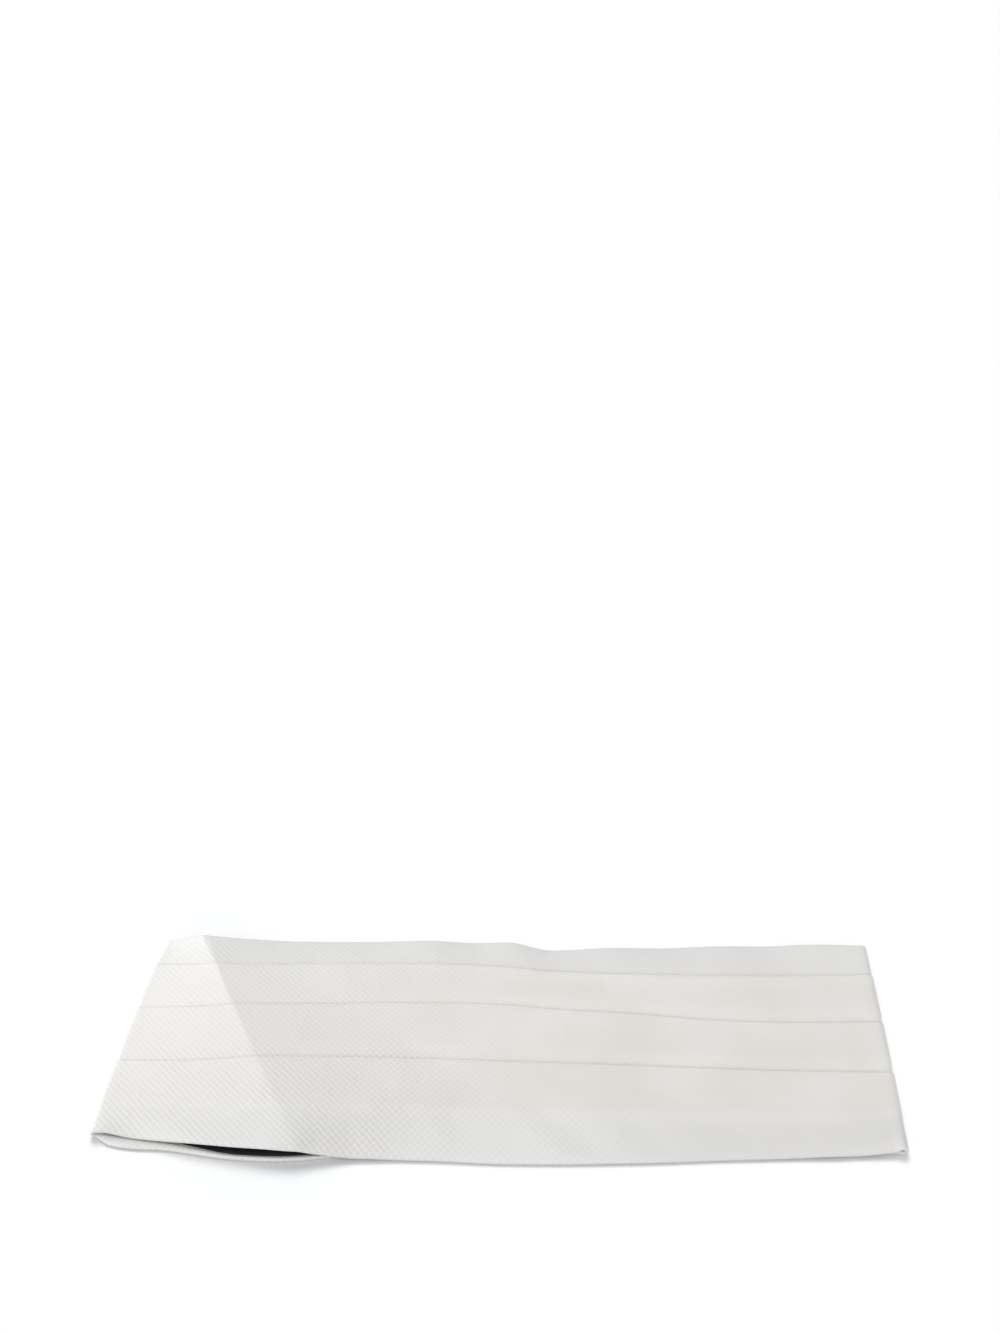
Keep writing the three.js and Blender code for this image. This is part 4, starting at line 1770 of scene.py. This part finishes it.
@dataclass
class Clasp(BoxedPiece):
    """The plain closed clasp: one painted metal sleeve round the strap, with eased edges."""

    wall: float = 1.0 * MM
    corner: float = 0.7 * MM
    least_corner: float = 0.15 * MM
    ease: float = 0.25 * MM
    corner_steps: int = 5
    side_steps: int = 12

    def section(self, depth: float) -> list[tuple[float, float]]:
        """The sleeve's outline in the Y and Z plane.

        Args:
            depth: how far inside its outer face it lies.

        Returns:
            The points' places along Y and Z.
        """
        half_y = (self.high.y - self.low.y) / 2 - depth
        half_z = (self.high.z - self.low.z) / 2 - depth
        corner = max(self.least_corner, self.corner - depth)
        flat = half_y - corner
        points = []
        for quarter in range(4):
            sy = 1 if quarter in (0, 3) else -1
            sz = 1 if quarter in (0, 1) else -1
            for k in range(self.corner_steps + 1):
                angle = math.pi / 2 * (quarter + k / self.corner_steps)
                y = sy * flat + corner * math.cos(angle)
                points.append((y, sz * (half_z - corner) + corner * math.sin(angle)))
            if quarter in (0, 2):
                shares = [k / self.side_steps for k in range(1, self.side_steps)]
                points += [(sy * flat * (1 - 2 * share), sz * half_z) for share in shares]
        return [(self.middle.y + y, self.middle.z + z) for y, z in points]

    def ring_path(self) -> list[tuple[float, float]]:
        """Where the section's rings lie, round the sleeve's wall.

        Returns:
            The place along X and the depth inside the outer face, ring by ring.
        """
        path = []
        for edge, side, inside, turns in (
            (self.low.x, 1, False, (0, 30, 60, 90)),
            (self.high.x, -1, False, (90, 60, 30, 0)),
            (self.high.x, -1, True, (0, 45, 90)),
            (self.low.x, 1, True, (90, 45, 0)),
        ):
            for _, cosine, sine in arc(turns):
                eased = self.ease * (1 - sine)
                depth = self.wall - eased if inside else eased
                path.append((edge + side * self.ease * (1 - cosine), depth))
        return path

    def build(self, material: bpy.types.Material) -> bpy.types.Object:
        """Builds the clasp.

        Args:
            material: the painted metal's finish.

        Returns:
            The clasp.
        """
        rings = [[Vector((x, y, z)) for y, z in self.section(depth)] for x, depth in self.ring_path()]
        points = [point for ring in rings for point in ring]
        faces = tube_faces(len(rings), len(rings[0]), closed=True)
        clasp = face_outwards(mesh_object("strap_clasp", points, [], faces))
        clasp.data.shade_smooth()
        hand_over(clasp, material)
        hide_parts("clasp")
        return clasp


@dataclass(frozen=True)
class Lamp:
    """One soft light.

    Attributes:
        name: its name.
        comes_from: a point in the direction that it comes from, or the place of a panel.
        power: watts per square metre for a wide light, or watts for a panel.
        colour: its colour.
        spread: how wide a wide light's source looks, in degrees.
        panel: the width and height of a near panel, or None for a wide light.
    """

    name: str
    comes_from: tuple[float, ...]
    power: float
    colour: tuple[float, ...]
    spread: float = 0.0
    panel: tuple[float, float] | None = None

    def build(self) -> bpy.types.Object:
        """Adds the light, turned to the middle of the floor.

        Returns:
            The light.
        """
        data = bpy.data.lights.new(self.name, "AREA" if self.panel else "SUN")
        data.energy = self.power
        data.color = self.colour
        light = add_object(self.name, data)
        light.rotation_euler = Vector(self.comes_from).to_track_quat("Z", "Y").to_euler()
        if self.panel:
            data.shape = "RECTANGLE"
            data.size, data.size_y = self.panel
            light.location = self.comes_from
        else:
            data.angle = math.radians(self.spread)
        return light


@dataclass(frozen=True)
class Studio:
    """The pale floor, the soft lights and the camera at the photograph's angle."""

    camera_place: tuple[float, ...] = (-0.0028, -0.4812, 0.6122)
    camera_tilt: float = 53.87
    lens: float = 36.43
    sensor_width: float = 36
    clip_start: float = 0.01
    floor_size: float = 16.0
    floor_colour: tuple[float, ...] = (0.95, 0.95, 0.95, 1)
    floor_glow: float = 0.07
    air_colour: tuple[float, ...] = (0.94, 0.97, 1.0, 1)
    air_strength: float = 0.60
    cloth_lamps: tuple[Lamp, ...] = (
        Lamp("front_top", (0.0, -0.28, 1.0), 1.05, (1.0, 0.975, 0.94), spread=60),
        Lamp("front_window", (0.12, -1.0, 0.55), 0.62, (1.0, 0.98, 0.95), spread=20),
        Lamp("left_window", (-1.0, -0.05, 0.30), 1.25, (0.99, 0.995, 1.0), spread=24),
        Lamp("left_panel", (-0.55, 0.22, 0.19), 1.0, (0.96, 0.98, 1.0), panel=(0.3, 0.2)),
    )
    floor_lamps: tuple[Lamp, ...] = (
        Lamp("back_top", (-0.08, 0.68, 1.0), 1.60, (1.0, 0.98, 0.96), spread=30),
    )

    def camera(self) -> bpy.types.Object:
        """Places the camera and makes it the scene's own.

        Returns:
            The camera.
        """
        data = bpy.data.cameras.new("camera")
        data.lens = self.lens
        data.sensor_width = self.sensor_width
        data.sensor_fit = "AUTO"
        data.clip_start = self.clip_start
        camera = add_object("camera", data)
        camera.location = self.camera_place
        camera.rotation_euler = (math.radians(self.camera_tilt), 0, 0)
        bpy.context.scene.camera = camera
        return camera

    def floor(self) -> bpy.types.Object:
        """Lays the pale floor at the height that the loop rests on.

        Returns:
            The floor.
        """
        half = self.floor_size / 2
        corners = [(-half, -half, 0), (half, -half, 0), (half, half, 0), (-half, half, 0)]
        floor = mesh_object("floor", corners, [], [(0, 1, 2, 3)])
        floor.location.z = CAD_BOX[0][2]
        material, tree, shader = new_material("floor_paper")
        tree.feed(shader, Base_Color=self.floor_colour, Roughness=0.9, Specular_IOR_Level=0.1)
        tree.feed(shader, Emission_Color=self.floor_colour, Emission_Strength=self.floor_glow)
        floor.data.materials.append(material)
        return floor

    @staticmethod
    def light_only(lamps: tuple[Lamp, ...], things: list[bpy.types.Object]) -> None:
        """Adds lights that fall on some things alone, so that the floor stays free of long shadows.

        Args:
            lamps: the lights.
            things: what they fall on.
        """
        lit = bpy.data.collections.new("lit_things")
        for thing in things:
            lit.objects.link(thing)
        for lamp in lamps:
            lamp.build().light_linking.receiver_collection = lit

    def air(self) -> None:
        """Sets the even light from all round, and how tones are shown."""
        scene = bpy.context.scene
        scene.world = bpy.data.worlds.new("studio_air")
        scene.world.use_nodes = True
        tree = NodeTree(scene.world.node_tree)
        air = tree.feed(tree.add("ShaderNodeBackground"), Color=self.air_colour, Strength=self.air_strength)
        tree.join(air.outputs[0], tree.add("ShaderNodeOutputWorld").inputs[0])
        scene.view_settings.view_transform = "Standard"
        scene.view_settings.look = "None"
        scene.view_settings.exposure = 0
        scene.view_settings.gamma = 1

    def build(self, pieces: list[bpy.types.Object]) -> None:
        """Sets up the whole studio.

        Args:
            pieces: the cummerbund's pieces.
        """
        self.camera()
        floor = self.floor()
        self.light_only(self.cloth_lamps, pieces)
        self.light_only(self.floor_lamps, [floor])
        self.air()


def main() -> None:
    """Builds every piece of the cummerbund in order, and then the studio round them."""
    logging.basicConfig(level=logging.INFO, format="%(name)s: %(message)s")
    effects = SharedEffects.build()
    trees = SewingTrees.build()
    loop = FoldedLoop.from_frame()
    LOG.info("folded length %.4f, worn height %.4f", loop.folded_length, loop.front_height)
    pieces = [PleatedPanel(loop).build(SilkTwill().build(effects))]
    pieces += Lining(loop).build(LiningCloth().build(effects), trees)
    pieces += WaistStrap.from_frame("waist_strap").build(StrapWeb().build(effects), trees)
    pieces.append(Clasp.from_frame("clasp").build(ClaspMetal().build(effects)))
    Studio().build(pieces)


if __name__ == "__main__":
    main()
